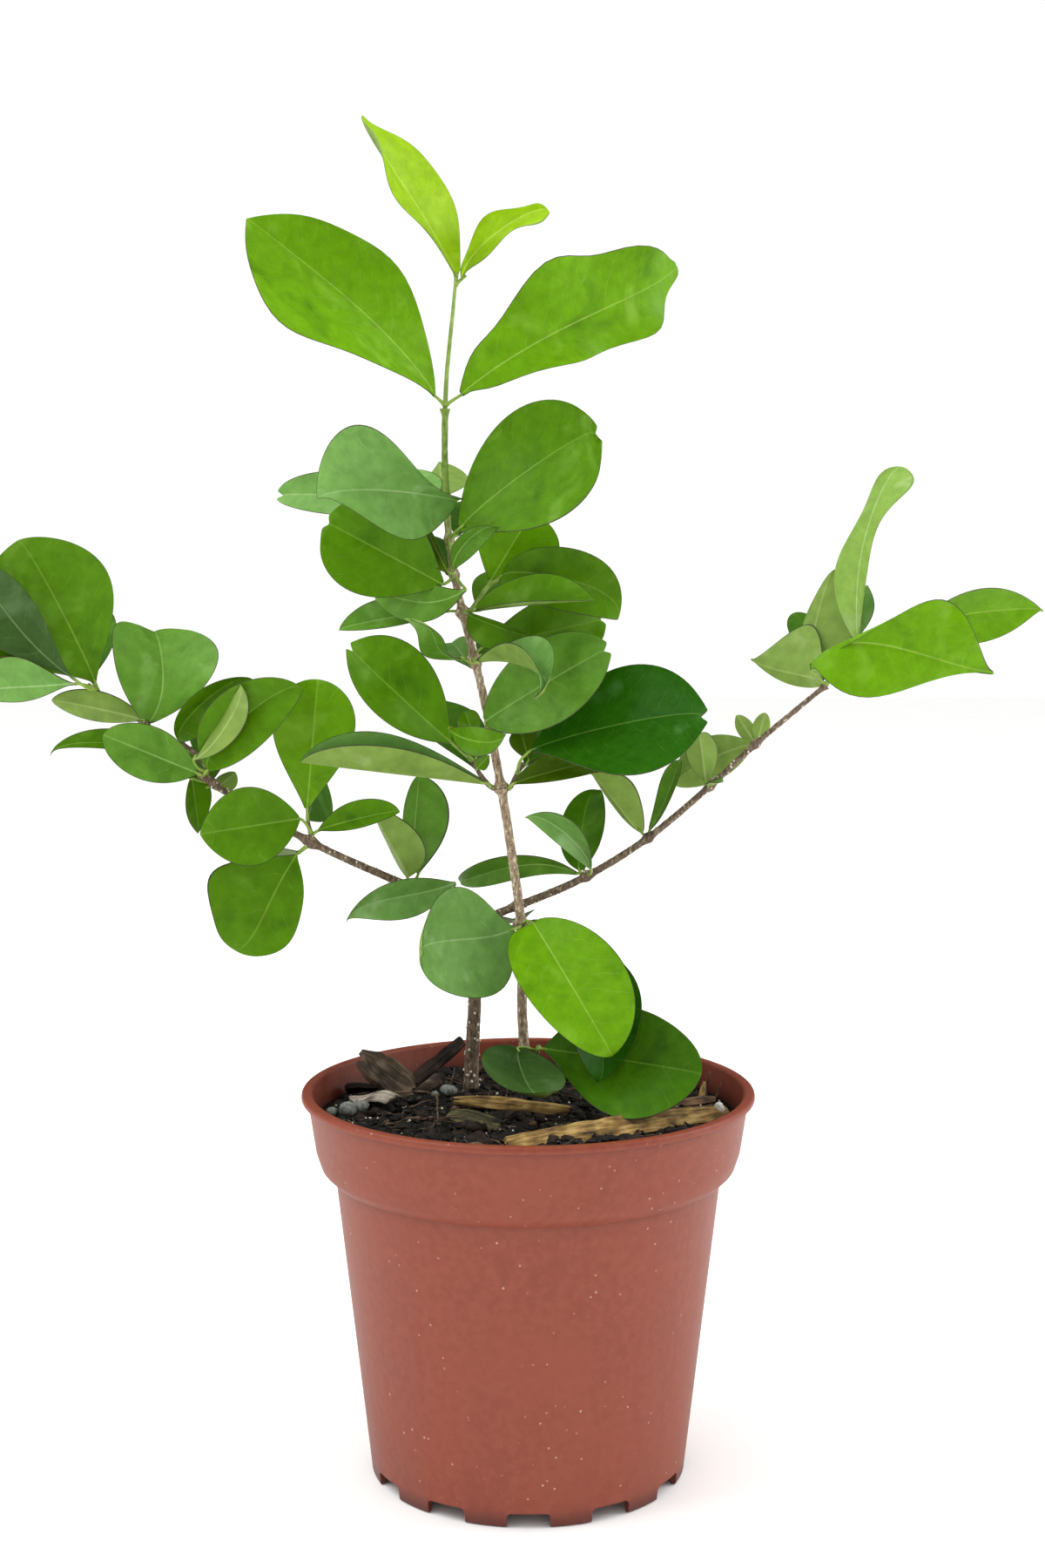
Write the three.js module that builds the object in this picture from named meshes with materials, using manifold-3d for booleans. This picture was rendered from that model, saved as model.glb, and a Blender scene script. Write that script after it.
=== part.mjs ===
// A young barbados cherry tree in a 12 cm terracotta-coloured nursery pot, in millimetres, +Z up.
// The origin is the centre of the pot's underside, +X is to the right and +Y is away from the front.
import * as THREE from "three";
import { mergeVertices } from "three/addons/utils/BufferGeometryUtils.js";
import Module from "manifold-3d";

const wasm = await Module();
wasm.setup();

// Driving sizes of the pot
const potHeight = 103;
const rimRadius = 60;
const rimHeight = 1.8;
const collarTopRadius = 58.3;
const collarFootRadius = 56.3;
const collarFootZ = 87.6;
const shoulderRadius = 51.2;
const shoulderZ = 79.4;
const footRadius = 42;
const wallThickness = 1.3;
const raisedFloorZ = 3.7;
const floorThickness = 1.3;
const padRadius = 12;
const footNotches = 12;
const notchWidth = 11;
const drainHoles = 6;
const drainRadius = 3.5;
const drainRingRadius = 27;
const potFacets = 48;
const mixFacets = 36;

// Driving sizes of the soil and the plant
const soilTopZ = 96.7;
const soilMound = 0.9;
const clearance = 0.3;
const tipClearance = clearance + 0.08;
const stemFootZ = soilTopZ + clearance;
const stalkRows = 2;
const leastBladeThickness = 0.6;
const bladeThicknessShare = 0.012;
const stalkRadius = 0.5;
const twigRadius = 0.75;
const cushionRadius = 1.5;
const seamTolerance = 0.02;
const flareReach = 4;
const mostTrimmedVolume = 1;

// Usual form of a blade: share of the length where it is widest, how wedge-shaped its foot and tip are,
// depth of the tip notch, fold along the midrib in degrees, cupping, arch, sideways bend and sway, twist,
// how much further on (skew) and wider (lean) its left side is, waves in its outline (lobes) and face
const usualBlade = {
  widest: 0.56,
  foot: 1.5,
  tip: 1,
  notch: 0,
  fold: 12,
  cup: 8,
  arch: 0.05,
  bend: 0,
  sway: 0,
  twist: 0,
  skew: 0,
  lean: 0,
  lobes: 0,
  wave: 0,
  waves: 2,
};

const radians = THREE.MathUtils.degToRad;

// Repeatable scatter: the same seed always gives the same run of values between 0 and 1.
function scatter(seed) {
  let state = seed;
  return () => {
    state = (state * 16807) % 2147483647;
    return state / 2147483647;
  };
}

// A three.js geometry as a manifold-3d solid
function solid(geometry) {
  const bare = geometry.clone();
  bare.deleteAttribute("normal");
  bare.deleteAttribute("uv");
  const merged = mergeVertices(bare, 1e-4);
  return new wasm.Manifold(
    new wasm.Mesh({
      numProp: 3,
      vertProperties: new Float32Array(merged.attributes.position.array),
      triVerts: new Uint32Array(merged.index.array),
    }),
  );
}

// The fused body of several solids: loose scrap is dropped and a sealed hollow is filled.
function fuse(solids) {
  const bodies = wasm.Manifold.union(solids).simplify(seamTolerance).decompose();
  return bodies.reduce((best, body) => (body.volume() > best.volume() ? body : best));
}

function meshOf(name, body, material) {
  const raw = body.getMesh();
  const geometry = new THREE.BufferGeometry();
  const stride = raw.numProp;
  const positions = new Float32Array(raw.numVert * 3);
  for (let i = 0; i < raw.numVert; i++) {
    positions.set(raw.vertProperties.subarray(i * stride, i * stride + 3), i * 3);
  }
  geometry.setAttribute("position", new THREE.BufferAttribute(positions, 3));
  geometry.setIndex(new THREE.BufferAttribute(new Uint32Array(raw.triVerts), 1));
  geometry.computeVertexNormals();
  const mesh = new THREE.Mesh(geometry, material);
  mesh.name = name;
  return mesh;
}

function material(color, roughness) {
  return new THREE.MeshStandardMaterial({ color, roughness, metalness: 0 });
}

// Moves every vertex of a geometry to the place that the rule gives for it.
function reshape(geometry, rule) {
  const position = geometry.attributes.position;
  const vertex = new THREE.Vector3();
  for (let i = 0; i < position.count; i++) {
    vertex.fromBufferAttribute(position, i);
    const moved = rule(vertex);
    position.setXYZ(i, moved.x, moved.y, moved.z);
  }
  return geometry;
}

// A tapering round limb along a smooth curve, with flat ends
function limbGeometry(curve, radiusAt, facets, segments) {
  const frames = curve.computeFrenetFrames(segments, false);
  const geometry = new THREE.CylinderGeometry(1, 1, 1, facets, segments);
  return reshape(geometry, (vertex) => {
    const share = THREE.MathUtils.clamp(vertex.y + 0.5, 0, 1);
    const ring = Math.round(share * segments);
    const radius = radiusAt(share);
    return curve
      .getPointAt(share)
      .addScaledVector(frames.normals[ring], -vertex.x * radius)
      .addScaledVector(frames.binormals[ring], vertex.z * radius);
  });
}

function smoothCurve(points) {
  return new THREE.CatmullRomCurve3(
    points.map((point) => new THREE.Vector3(...point)),
    false,
    "centripetal",
  );
}

// A stem or bough with its radii at both ends and a flare at its root, and the same limb grown by the
// clearance, which is kept free of leaves
function limb({ points, rootRadius, tipRadius, flare, facets, segments }) {
  const curve = smoothCurve(points);
  const reach = curve.getLength();
  const before = curve.getPointAt(0).addScaledVector(curve.getTangentAt(0), -tipClearance);
  const beyond = curve.getPointAt(1).addScaledVector(curve.getTangentAt(1), tipClearance);
  const longer = smoothCurve([before.toArray(), ...points.slice(1, -1), beyond.toArray()]);
  const radiusAt = (share) =>
    THREE.MathUtils.lerp(rootRadius, tipRadius, share) +
    flare * Math.exp((-share * reach) / flareReach);
  const grown = (share) => radiusAt(share) + tipClearance;
  return {
    body: solid(limbGeometry(curve, radiusAt, facets, segments)),
    keepClear: solid(limbGeometry(longer, grown, facets, segments)),
  };
}

// Share of the length that a blade's edge has reached at an angle round its outline
function edgeReach(angle, widest) {
  return ((1 - Math.cos(angle)) / 2) ** (Math.log(widest) / Math.log(0.5));
}

// Half the width of a blade at an angle round its outline, from the foot at 0 to the tip at half a turn
function outlineShare(angle, foot, tip) {
  const power = THREE.MathUtils.lerp(foot, tip, angle / Math.PI);
  return Math.sin(angle) ** power;
}

// Rows of facets along a blade: long blades have more
function bladeRowsOf(length) {
  return THREE.MathUtils.clamp(Math.round(3 + length / 17), 4, 6);
}

// A place on a blade whose root is the origin, with its midrib along +X, its upper face up and its left
// side +Y: share runs from root to tip, side is -1, 0 or 1, layer is -0.5 below and 0.5 above
function bladePoint(form, share, side, layer) {
  const { length, width } = form;
  const footAngle = 0.05 * Math.PI;
  const tipAngle = (form.notch > 0 ? 0.925 : 0.985) * Math.PI;
  const angle = THREE.MathUtils.lerp(footAngle, tipAngle, share);
  const widest = form.widest + form.skew * side;
  const footReach = edgeReach(footAngle, widest);
  const fullReach = edgeReach(tipAngle, widest) - footReach;
  const edge = (edgeReach(angle, widest) - footReach) / fullReach;
  const reach = Math.abs(side) > 0 ? edge : edge - form.notch * share ** 10;
  const phase = side < 0 ? 2.1 : 0;
  const fade = Math.sqrt(Math.max(0, Math.sin(Math.PI * share ** 0.7)));
  const swing = fade * Math.sin(2 * Math.PI * form.waves * share + phase);
  const spread = (1 + form.lean * side) * (1 + form.lobes * swing);
  const leastHalf = share > 0 ? 0.35 : stalkRadius;
  const outline = (width / 2) * outlineShare(angle, form.foot, form.tip) * spread;
  const half = Math.max(outline, leastHalf) * side;
  const lift = radians(form.fold + form.cup * Math.abs(side));
  const ripple = form.wave * width * Math.abs(side) * swing;
  const least = Math.max(leastBladeThickness, bladeThicknessShare * length);
  const thickness = least / Math.cos(radians(form.fold + form.cup / 2));
  const layered = layer * (share > 0 ? thickness : 2 * stalkRadius);
  const across = half * Math.cos(lift);
  const rise = Math.abs(half) * Math.sin(lift) + ripple + layered;
  const turn = radians(form.twist) * (share - 0.5);
  const bow = 4 * share * (1 - share) * length;
  const drift = form.bend * bow + form.sway * length * Math.sin(2 * Math.PI * share);
  return new THREE.Vector3(
    length * reach,
    across * Math.cos(turn) - rise * Math.sin(turn) + drift,
    across * Math.sin(turn) + rise * Math.cos(turn) + form.arch * bow,
  );
}

// A leaf's place in the crown: heading and rise of its midrib, roll of its face round the midrib
function leafMatrix(root, { heading, rise, roll }) {
  const turn = new THREE.Euler(radians(roll), radians(-rise), radians(heading), "ZYX");
  return new THREE.Matrix4().makeRotationFromEuler(turn).setPosition(root);
}

function nearestOn(stations, target) {
  return stations.reduce((best, station) =>
    station.distanceTo(target) < best.distanceTo(target) ? station : best,
  );
}

// One leaf in a single sweep: a square stalk from its twig to the root of the blade, then the blade
function leafSolid(leaf, base, stations) {
  const form = { ...usualBlade, ...leaf };
  const root = base.clone().add(new THREE.Vector3(...form.at));
  const matrix = leafMatrix(root, form);
  const midrib = new THREE.Vector3();
  const across = new THREE.Vector3();
  const up = new THREE.Vector3();
  matrix.extractBasis(midrib, across, up);
  const start = nearestOn(stations, root);
  const bendBack = midrib.clone().multiplyScalar(-0.2 * start.distanceTo(root));
  const middle = start.clone().lerp(root, 0.6).add(bendBack);
  const stalk = new THREE.CatmullRomCurve3([start, middle, root], false, "centripetal");
  const bladeRows = bladeRowsOf(form.length);
  const rows = stalkRows + bladeRows;
  const geometry = reshape(new THREE.BoxGeometry(1, 2, 1, rows, 2, 1), (vertex) => {
    const row = Math.round((vertex.x + 0.5) * rows);
    if (row >= stalkRows) {
      const share = (row - stalkRows) / bladeRows;
      return bladePoint(form, share, vertex.y, vertex.z).applyMatrix4(matrix);
    }
    const share = row / stalkRows;
    const turn = new THREE.Quaternion().setFromUnitVectors(midrib, stalk.getTangentAt(share));
    return stalk
      .getPointAt(share)
      .addScaledVector(across.clone().applyQuaternion(turn), vertex.y * stalkRadius)
      .addScaledVector(up.clone().applyQuaternion(turn), vertex.z * 2 * stalkRadius);
  });
  return solid(geometry);
}

// The twig of a foliage mass from its foot on, and the places on it where stalks can spring
function twigAt(base, twig) {
  const stops = twig.map((offset) => base.clone().add(new THREE.Vector3(...offset)));
  if (stops.length === 0) return { wood: [], stations: [base] };
  const curve = new THREE.CatmullRomCurve3([base, ...stops], false, "centripetal");
  const taper = (share) => twigRadius * (1 - 0.3 * share);
  return {
    wood: [solid(limbGeometry(curve, taper, 6, 2 * stops.length))],
    stations: curve.getSpacedPoints(6 * stops.length),
  };
}

// Volume that a leaf shares with the space kept clear round a limb: a stalk's root may be trimmed there.
function touched(leaf, one) {
  return leaf.intersect(one.keepClear).volume();
}

// One foliage mass: a cushion against its limb, a twig if it has one, and leaves whose stalks spring
// from the nearest place on the twig. A leaf that would touch a limb or another mass isn't grown.
function foliage({ foot, twig = [], leaves }, limbs, neighbours) {
  const base = new THREE.Vector3(...foot);
  const cushion = new THREE.OctahedronGeometry(cushionRadius, 0).translate(...foot);
  const { wood, stations } = twigAt(base, twig);
  const grown = leaves
    .map((leaf) => leafSolid(leaf, base, stations))
    .filter((leaf) => neighbours.every((other) => other.minGap(leaf, clearance) >= clearance))
    .filter((leaf) => limbs.every((one) => touched(leaf, one) < mostTrimmedVolume));
  const joined = wasm.Manifold.union([solid(cushion), ...wood, ...grown]);
  return fuse([wasm.Manifold.difference([joined, ...limbs.map((one) => one.keepClear)])]);
}

function potBody() {
  const innerCollar = collarTopRadius - wallThickness;
  const profile = [
    [0, 0],
    [padRadius, 0],
    [padRadius + 0.6, raisedFloorZ],
    [footRadius - wallThickness - 0.6, raisedFloorZ],
    [footRadius - wallThickness, 0],
    [footRadius, 0],
    [shoulderRadius, shoulderZ],
    [shoulderRadius + 1.1, shoulderZ + 0.2],
    [collarFootRadius - 1.2, collarFootZ - 3.6],
    [collarFootRadius, collarFootZ],
    [collarTopRadius, potHeight - rimHeight - 0.3],
    [rimRadius, potHeight - rimHeight],
    [rimRadius, potHeight - 0.6],
    [rimRadius - 0.5, potHeight],
    [innerCollar + 0.5, potHeight],
    [innerCollar, potHeight - 0.5],
    [collarFootRadius - wallThickness, collarFootZ + 1],
    [shoulderRadius - wallThickness + 0.8, shoulderZ + 2.6],
    [shoulderRadius - wallThickness, shoulderZ],
    [footRadius - wallThickness + 0.6, raisedFloorZ + floorThickness],
    [padRadius + 0.2, raisedFloorZ + floorThickness],
    [padRadius - wallThickness, floorThickness],
    [0, floorThickness],
  ];
  const shell = new THREE.LatheGeometry(
    profile.map(([radius, z]) => new THREE.Vector2(radius, z)),
    potFacets,
  ).rotateX(Math.PI / 2);
  const cuts = [];
  for (let i = 0; i < footNotches; i++) {
    const notch = new THREE.BoxGeometry(notchWidth, 8, 2 * raisedFloorZ);
    reshape(notch, (vertex) => {
      const flareOut = vertex.z < 0 ? 1.06 : 0.94;
      return vertex.clone().setX(vertex.x * flareOut);
    });
    notch.translate(0, -footRadius + 0.4, 0).rotateZ((i * 2 * Math.PI) / footNotches);
    cuts.push(solid(notch));
  }
  for (let i = 0; i < drainHoles; i++) {
    const drain = new THREE.CylinderGeometry(drainRadius, drainRadius, 6, 8).rotateX(Math.PI / 2);
    drain.translate(drainRingRadius, 0, raisedFloorZ + floorThickness / 2);
    cuts.push(solid(drain.rotateZ(((i + 0.5) * 2 * Math.PI) / drainHoles)));
  }
  return fuse([wasm.Manifold.difference([solid(shell), ...cuts])]);
}

// Places of the bark chips on the soil: middle, heading, tilt, and their size
const barkChips = [
  { at: [21, -21, 96.8], heading: 8, tilt: 1, size: [54, 7, 2] },
  { at: [-6, -4, 98], heading: -4, tilt: 4, size: [30, 5, 1.6] },
  { at: [-41, 14, 100], heading: -38, tilt: 16, size: [16, 9, 2.2] },
  { at: [-27, 18, 101.5], heading: 24, tilt: -32, size: [21, 5, 1.3] },
  { at: [-11, 40, 99.5], heading: -22, tilt: 14, size: [14, 5, 1.8] },
  { at: [-16, -13, 98], heading: -28, tilt: 5, size: [17, 4, 1.6] },
  { at: [-41, -10, 98], heading: -12, tilt: 3, size: [16, 7, 2.2] },
  { at: [38, 20, 98.5], heading: 50, tilt: -8, size: [18, 6, 1.8] },
  { at: [8, 34, 98], heading: 10, tilt: 6, size: [20, 6, 1.8] },
];

// Potting mix that fills the pot up to its level, with bark chips bedded in its top
function pottingMix() {
  const near = clearance + 0.1;
  const wall = wallThickness + near;
  const rise = (soilTopZ - collarFootZ) / (potHeight - collarFootZ);
  const topRadius = THREE.MathUtils.lerp(collarFootRadius, collarTopRadius, rise) - wall - 0.4;
  const floor = raisedFloorZ + floorThickness + near;
  const profile = [
    [0, floorThickness + near],
    [padRadius - wallThickness - near, floorThickness + near],
    [padRadius - 0.2, floor],
    [footRadius - wall + 0.4, floor],
    [shoulderRadius - wall - 0.1, shoulderZ],
    [shoulderRadius - wall + 0.4, shoulderZ + 2.6],
    [collarFootRadius - wall - 0.4, collarFootZ + 1],
    [topRadius, soilTopZ - soilMound],
    [topRadius * 0.75, soilTopZ - 0.3],
    [topRadius * 0.5, soilTopZ],
    [0, soilTopZ],
  ];
  const heap = new THREE.LatheGeometry(
    profile.map(([radius, z]) => new THREE.Vector2(radius, z)),
    mixFacets,
  ).rotateX(Math.PI / 2);
  const pieces = [solid(heap)];
  barkChips.forEach(({ at, heading, tilt, size }, index) => {
    const pick = scatter(index + 11);
    const [length, width, thickness] = size;
    const chip = new THREE.BoxGeometry(1, 1, 1, 4, 1, 1);
    reshape(chip, (vertex) => {
      const end = 1 - 0.5 * Math.abs(vertex.x) ** 2 * (1 + Math.sin(index + 3 * vertex.x));
      const curl = 0.15 * thickness * Math.cos(9 * vertex.x + index);
      const z = vertex.z * thickness + curl;
      return new THREE.Vector3(vertex.x * length, vertex.y * width * end, z);
    });
    chip.rotateX(0.15 * (pick() - 0.5)).rotateY(radians(-tilt)).rotateZ(radians(heading));
    pieces.push(solid(chip.translate(...at)));
  });
  return fuse(pieces);
}

const mainStem = limb({
  points: [
    [0, 14, stemFootZ],
    [0, 14, stemFootZ + 3],
    [-1.5, 13.8, 118],
    [-1.8, 13.5, 143.5],
    [-4.5, 12.5, 164.5],
    [-7, 12, 180.5],
    [-12.1, 11, 207.3],
    [-17.2, 10, 228.3],
    [-20.3, 10, 243],
    [-21.8, 9, 266],
    [-21.7, 8, 280.5],
  ],
  rootRadius: 1.45,
  tipRadius: 0.75,
  flare: 0.5,
  facets: 8,
  segments: 26,
});

const secondStem = limb({
  points: [
    [-15.7, 22, stemFootZ],
    [-15.7, 22, stemFootZ + 3],
    [-15.2, 21.8, 110],
    [-14.5, 21, 124],
    [-13.4, 20, 143.2],
  ],
  rootRadius: 2,
  tipRadius: 1.7,
  flare: 0.6,
  facets: 8,
  segments: 8,
});

const rightBough = limb({
  points: [
    [-12.1, 20, 144.6],
    [-6, 20, 147.2],
    [13.6, 18, 155.7],
    [31.4, 15, 167.1],
    [47.9, 12, 181.5],
    [60.8, 10, 193.9],
    [77.5, 8, 208.4],
  ],
  rootRadius: 1.1,
  tipRadius: 0.6,
  flare: 0.2,
  facets: 6,
  segments: 18,
});

const leftBough = limb({
  points: [
    [-14.6, 19.7, 144.25],
    [-20.5, 18, 149.4],
    [-35.6, 15, 156.1],
    [-57.1, 10, 166.8],
    [-71, 8, 175.2],
    [-84, 6, 184],
    [-99.7, 5, 198.2],
  ],
  rootRadius: 1.1,
  tipRadius: 0.7,
  flare: 0.2,
  facets: 6,
  segments: 18,
});

// The foliage masses, each with the foot of its shoot, its twig and its leaves
const notched = { notch: 0.06, fold: 8 };

const topShoot = {
  foot: [-21.7, 8, 281.8],
  twig: [[0.5, -0.5, 8.5], [1.2, -1, 15.5], [2.4, -2, 26.5], [3.1, -3, 33.5]],
  leaves: [
    {
      at: [3.2, -3, 33.4], heading: -159, rise: 57, roll: -44, length: 46, width: 30,
      widest: 0.63, foot: 1.7, tip: 2.1, skew: 0.07, lean: 0.09, lobes: -0.16, fold: 14, cup: 6,
      twist: 31, bend: 0.08, sway: -0.03, wave: 0.04, waves: 1.9, arch: 0.03,
    },
    {
      at: [4.5, -3, 32.6], heading: -18, rise: 34, roll: 59, length: 28.5, width: 12.5,
      foot: 1.3, tip: 0.8, skew: -0.04, lean: -0.29, lobes: -0.4, twist: 14, bend: 0.17, sway: 0.02,
      waves: 1.7, arch: 0.02,
    },
    {
      at: [-2.7, -1, 3.1], heading: -161, rise: 41, roll: -60, length: 65, width: 48.5,
      widest: 0.6, foot: 1.9, tip: 1.8, skew: 0.05, lean: 0.32, lobes: 0.05, twist: -13, bend: -0.03,
      sway: -0.02, waves: 2.4, arch: 0.02,
    },
    {
      at: [4.5, 0, 3.5], heading: 33, rise: 29, roll: 82, length: 78.5, width: 28.5,
      widest: 0.58, foot: 1.4, tip: 1.8, lean: 0.17, lobes: 0.1, fold: 8, twist: 81, sway: 0.02,
      wave: 0.08, waves: 3.1,
    },
  ],
};

const crownLeft = {
  foot: [-22.5, 8.5, 258.6],
  leaves: [
    {
      at: [4.2, -5.5, -0.7], heading: -151, rise: -0, roll: -89, length: 39.5, width: 29.5,
      widest: 0.72, foot: 0.9, tip: 0.9, skew: -0.15, lean: -0.13, fold: 14, twist: 133, bend: -0.05,
      arch: 0.18,
    },
    { at: [-0.5, 0.5, -1.6], heading: 171, rise: 3, roll: -71, length: 44.5, width: 13, notch: 0.05 },
    { at: [-1, 3.4, 0.3], heading: 92, rise: 24, roll: 159, length: 24, width: 15, widest: 0.6 },
    { at: [-2, 3, -0.4], heading: 126, rise: 8, roll: 0, length: 36, width: 22 },
  ],
};

const crownRight = {
  foot: [-19.5, 7.5, 247.8],
  leaves: [
    {
      at: [1.7, -1.5, 2.8], heading: -25, rise: 31, roll: 65, length: 47, width: 41,
      ...notched, foot: 1.4, tip: 1.2, skew: -0.07, lean: -0.2, fold: 6, twist: 7, bend: 0.16,
      arch: -0.11,
    },
    {
      at: [0, -5.5, -8], heading: -34, rise: 37, roll: 133, length: 18, width: 8,
      widest: 0.6, fold: 30, bend: 0.2,
    },
    { at: [0.8, 3.5, 1], heading: 66, rise: 8, roll: 0, length: 38.5, width: 24 },
  ],
};

const crownLowLeft = {
  foot: [-20.8, 9, 238],
  leaves: [
    {
      at: [-1.7, -3, -2], heading: -173, rise: 28, roll: -88, length: 35, width: 27,
      widest: 0.62, notch: 0.05, fold: 6,
    },
    { at: [0.2, -5, 1], heading: 134, rise: 57, roll: -87, length: 15.5, width: 8, fold: 30 },
    {
      at: [4.5, -6.6, -3.5], heading: 153, rise: -4, roll: -77, length: 27.5, width: 17,
      widest: 0.61, foot: 1.7, tip: 1.3, skew: -0.14, lean: -0.17, fold: 10, twist: -44, bend: 0.07,
      sway: 0.06, arch: 0.1,
    },
    { at: [0, 2, 0.4], heading: 127, rise: 12, roll: 0, length: 36, width: 22 },
  ],
};

const upperLeft = {
  foot: [-19.2, 10, 228.3],
  leaves: [
    { at: [-2.1, 3, 0.4], heading: 172, rise: -10, roll: -55, length: 30, width: 11, tip: 1.7, fold: 22 },
  ],
};

const upperRight = {
  foot: [-15.7, 9, 228.6],
  twig: [[5.3, 0.5, 6.9], [9.2, 0, 9.2]],
  leaves: [
    { at: [5.7, 3, 8.2], heading: 36, rise: 53, roll: 60, length: 22.5, width: 25, widest: 0.6 },
    {
      at: [8.6, -1, 9.5], heading: -10, rise: -19, roll: 78, length: 33, width: 17.5,
      widest: 0.52, foot: 0.8, tip: 0.9, lean: -0.05, fold: 10, bend: 0.14, sway: -0.02, arch: 0.09,
    },
    {
      at: [2, -7, 0.6], heading: -20, rise: 5, roll: 38, length: 32.5, width: 14.5,
      widest: 0.52, foot: 1.3, tip: 1.6, lean: 0.1, fold: 35, arch: 0.02,
    },
    {
      at: [0, -4.2, 0], heading: -25, rise: -17, roll: 123, length: 20.5, width: 13,
      widest: 0.42, tip: 1.7, fold: 30,
    },
    { at: [2.2, 3, 2], heading: 56, rise: 8, roll: 0, length: 39, width: 22 },
  ],
};

const stemLeft = {
  foot: [-15.8, 11, 214.7],
  leaves: [
    {
      at: [-0.8, -5, 1.6], heading: -142, rise: 32, roll: -172, length: 22, width: 10.5,
      widest: 0.61, foot: 2.5, tip: 0.7, lean: 0.08, notch: 0.08, fold: 10, twist: -17, bend: -0.14,
      sway: 0.16, arch: 0.1,
    },
    { at: [0.6, 3, -0.9], heading: 115, rise: 24, roll: -24, length: 14.5, width: 9 },
  ],
};

const stemRight = {
  foot: [-12.8, 10, 216.8],
  leaves: [
    { at: [0.5, -1, 2.4], heading: 5, rise: 13, roll: 86, length: 34, width: 19, widest: 0.62, notch: 0.05 },
    {
      at: [-0.6, -9.6, -0.8], heading: -63, rise: -13, roll: 10, length: 33.5, width: 17,
      widest: 0.55, tip: 1.6, fold: 55, bend: 0.22,
    },
    { at: [0.2, 3, 0.3], heading: 58, rise: -2, roll: 0, length: 39, width: 22 },
  ],
};

const middleRight = {
  foot: [-9.1, 9, 197.5],
  leaves: [
    {
      at: [-2.2, -0.7, 2.3], heading: -21, rise: 30, roll: 78, length: 40.5, width: 24,
      ...notched, foot: 1.2, tip: 1.1, lean: -0.11, fold: 10, twist: -7, arch: 0.04,
    },
    { at: [2.6, 4, 0.5], heading: 55, rise: 9, roll: 0, length: 40.5, width: 24 },
  ],
};

const lowLeft = {
  foot: [-9.2, 11, 181.7],
  twig: [[-2.5, -1, 2.2], [-4.8, -2, 6], [-7.3, -4, 10.4]],
  leaves: [
    {
      at: [-11.2, -7, 12.9], heading: -163, rise: 43, roll: -58, length: 38, width: 25.5,
      widest: 0.58, foot: 1.6, tip: 1.4, lean: -0.05, notch: 0.07, fold: 6, bend: 0.02, arch: 0.01,
    },
    {
      at: [-2, -5, 1.9], heading: -164, rise: 8, roll: -26, length: 50, width: 20,
      widest: 0.62, foot: 1.7, tip: 1.3, fold: 62, cup: 10, arch: 0,
    },
    {
      at: [-11.4, -13, 17.2], heading: -39, rise: -2, roll: 82, length: 19, width: 8,
      widest: 0.6, fold: 6, bend: -0.14,
    },
    { at: [-4.9, 3, 13], heading: 126, rise: 54, roll: -38, length: 8.5, width: 7, fold: 14 },
    { at: [-4.2, -8, 6.2], heading: -65, rise: 27, roll: 128, length: 8.5, width: 4 },
    { at: [-4.4, 2, 4.7], heading: 122, rise: 19, roll: 0, length: 43.5, width: 24 },
  ],
};

const lowRight = {
  foot: [-5, 11, 181.7],
  twig: [[1.6, -0.5, 3.1], [3.5, -1, 6.9]],
  leaves: [
    {
      at: [5.9, -9, 11], heading: -18, rise: 12, roll: 51, length: 49, width: 38,
      ...notched, widest: 0.61, foot: 1.6, tip: 1.4, skew: -0.05, lean: -0.16, twist: 10, bend: 0.05,
      arch: 0.01,
    },
    { at: [1.2, -3, 1.5], heading: 4, rise: 13, roll: 53, length: 31, width: 13, tip: 1.4, fold: 24 },
    { at: [5.1, 1, 7.6], heading: 118, rise: 59, roll: -30, length: 9, width: 8, widest: 0.6 },
    { at: [4.4, 1, 6.2], heading: 52, rise: 4, roll: 0, length: 45.5, width: 24 },
  ],
};

const basal = {
  foot: [-1.3, 10.6, 144.4],
  leaves: [
    {
      at: [-2.6, -4, -0.1], heading: -133, rise: -3, roll: -80, length: 35.5, width: 31.5,
      ...notched, widest: 0.38, tip: 1.3, skew: -0.05, lean: 0.06, twist: -39, sway: 0.03, arch: -0.22,
    },
    {
      at: [2.6, -5.5, 1.8], heading: -47, rise: -46, roll: 41, length: 43, width: 27,
      widest: 0.47, foot: 1, skew: 0.1, lean: 0.09, fold: 6, arch: 0.06,
    },
    {
      at: [4.5, -3, -0.9], heading: -54, rise: -55, roll: 17, length: 44, width: 24,
      widest: 0.6, foot: 1.4, tip: 1.2, fold: 20, bend: 0.15, sway: 0.04, arch: 0.03,
    },
  ],
};

const basalRear = {
  foot: [-1.5, 16.1, 144.4],
  leaves: [
    { at: [-0.2, 3, 0], heading: 115, rise: -20, roll: 0, length: 35, width: 24 },
    { at: [1.2, 3, 0], heading: 66, rise: -34, roll: 0, length: 40, width: 24 },
  ],
};

const groundShoot = {
  foot: [0.7, 11.3, 106.7],
  twig: [[1.7, -4.7, 4.3], [2.1, -7.7, 6.2]],
  leaves: [
    {
      at: [3.3, -11.5, 6.7], heading: -17, rise: -5, roll: 57, length: 43, width: 31.5,
      foot: 2, tip: 0.9, skew: -0.06, lean: -0.1, fold: 6, twist: -8, arch: 0.02,
    },
    {
      at: [-3.5, -16.7, 7.9], heading: -70, rise: -15, roll: -5, length: 24.5, width: 23.5,
      widest: 0.46, foot: 1.1, tip: 0.8, skew: 0.05, lean: -0.15, twist: 20, bend: -0.04, sway: 0.02,
      arch: -0.16,
    },
  ],
};

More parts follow.
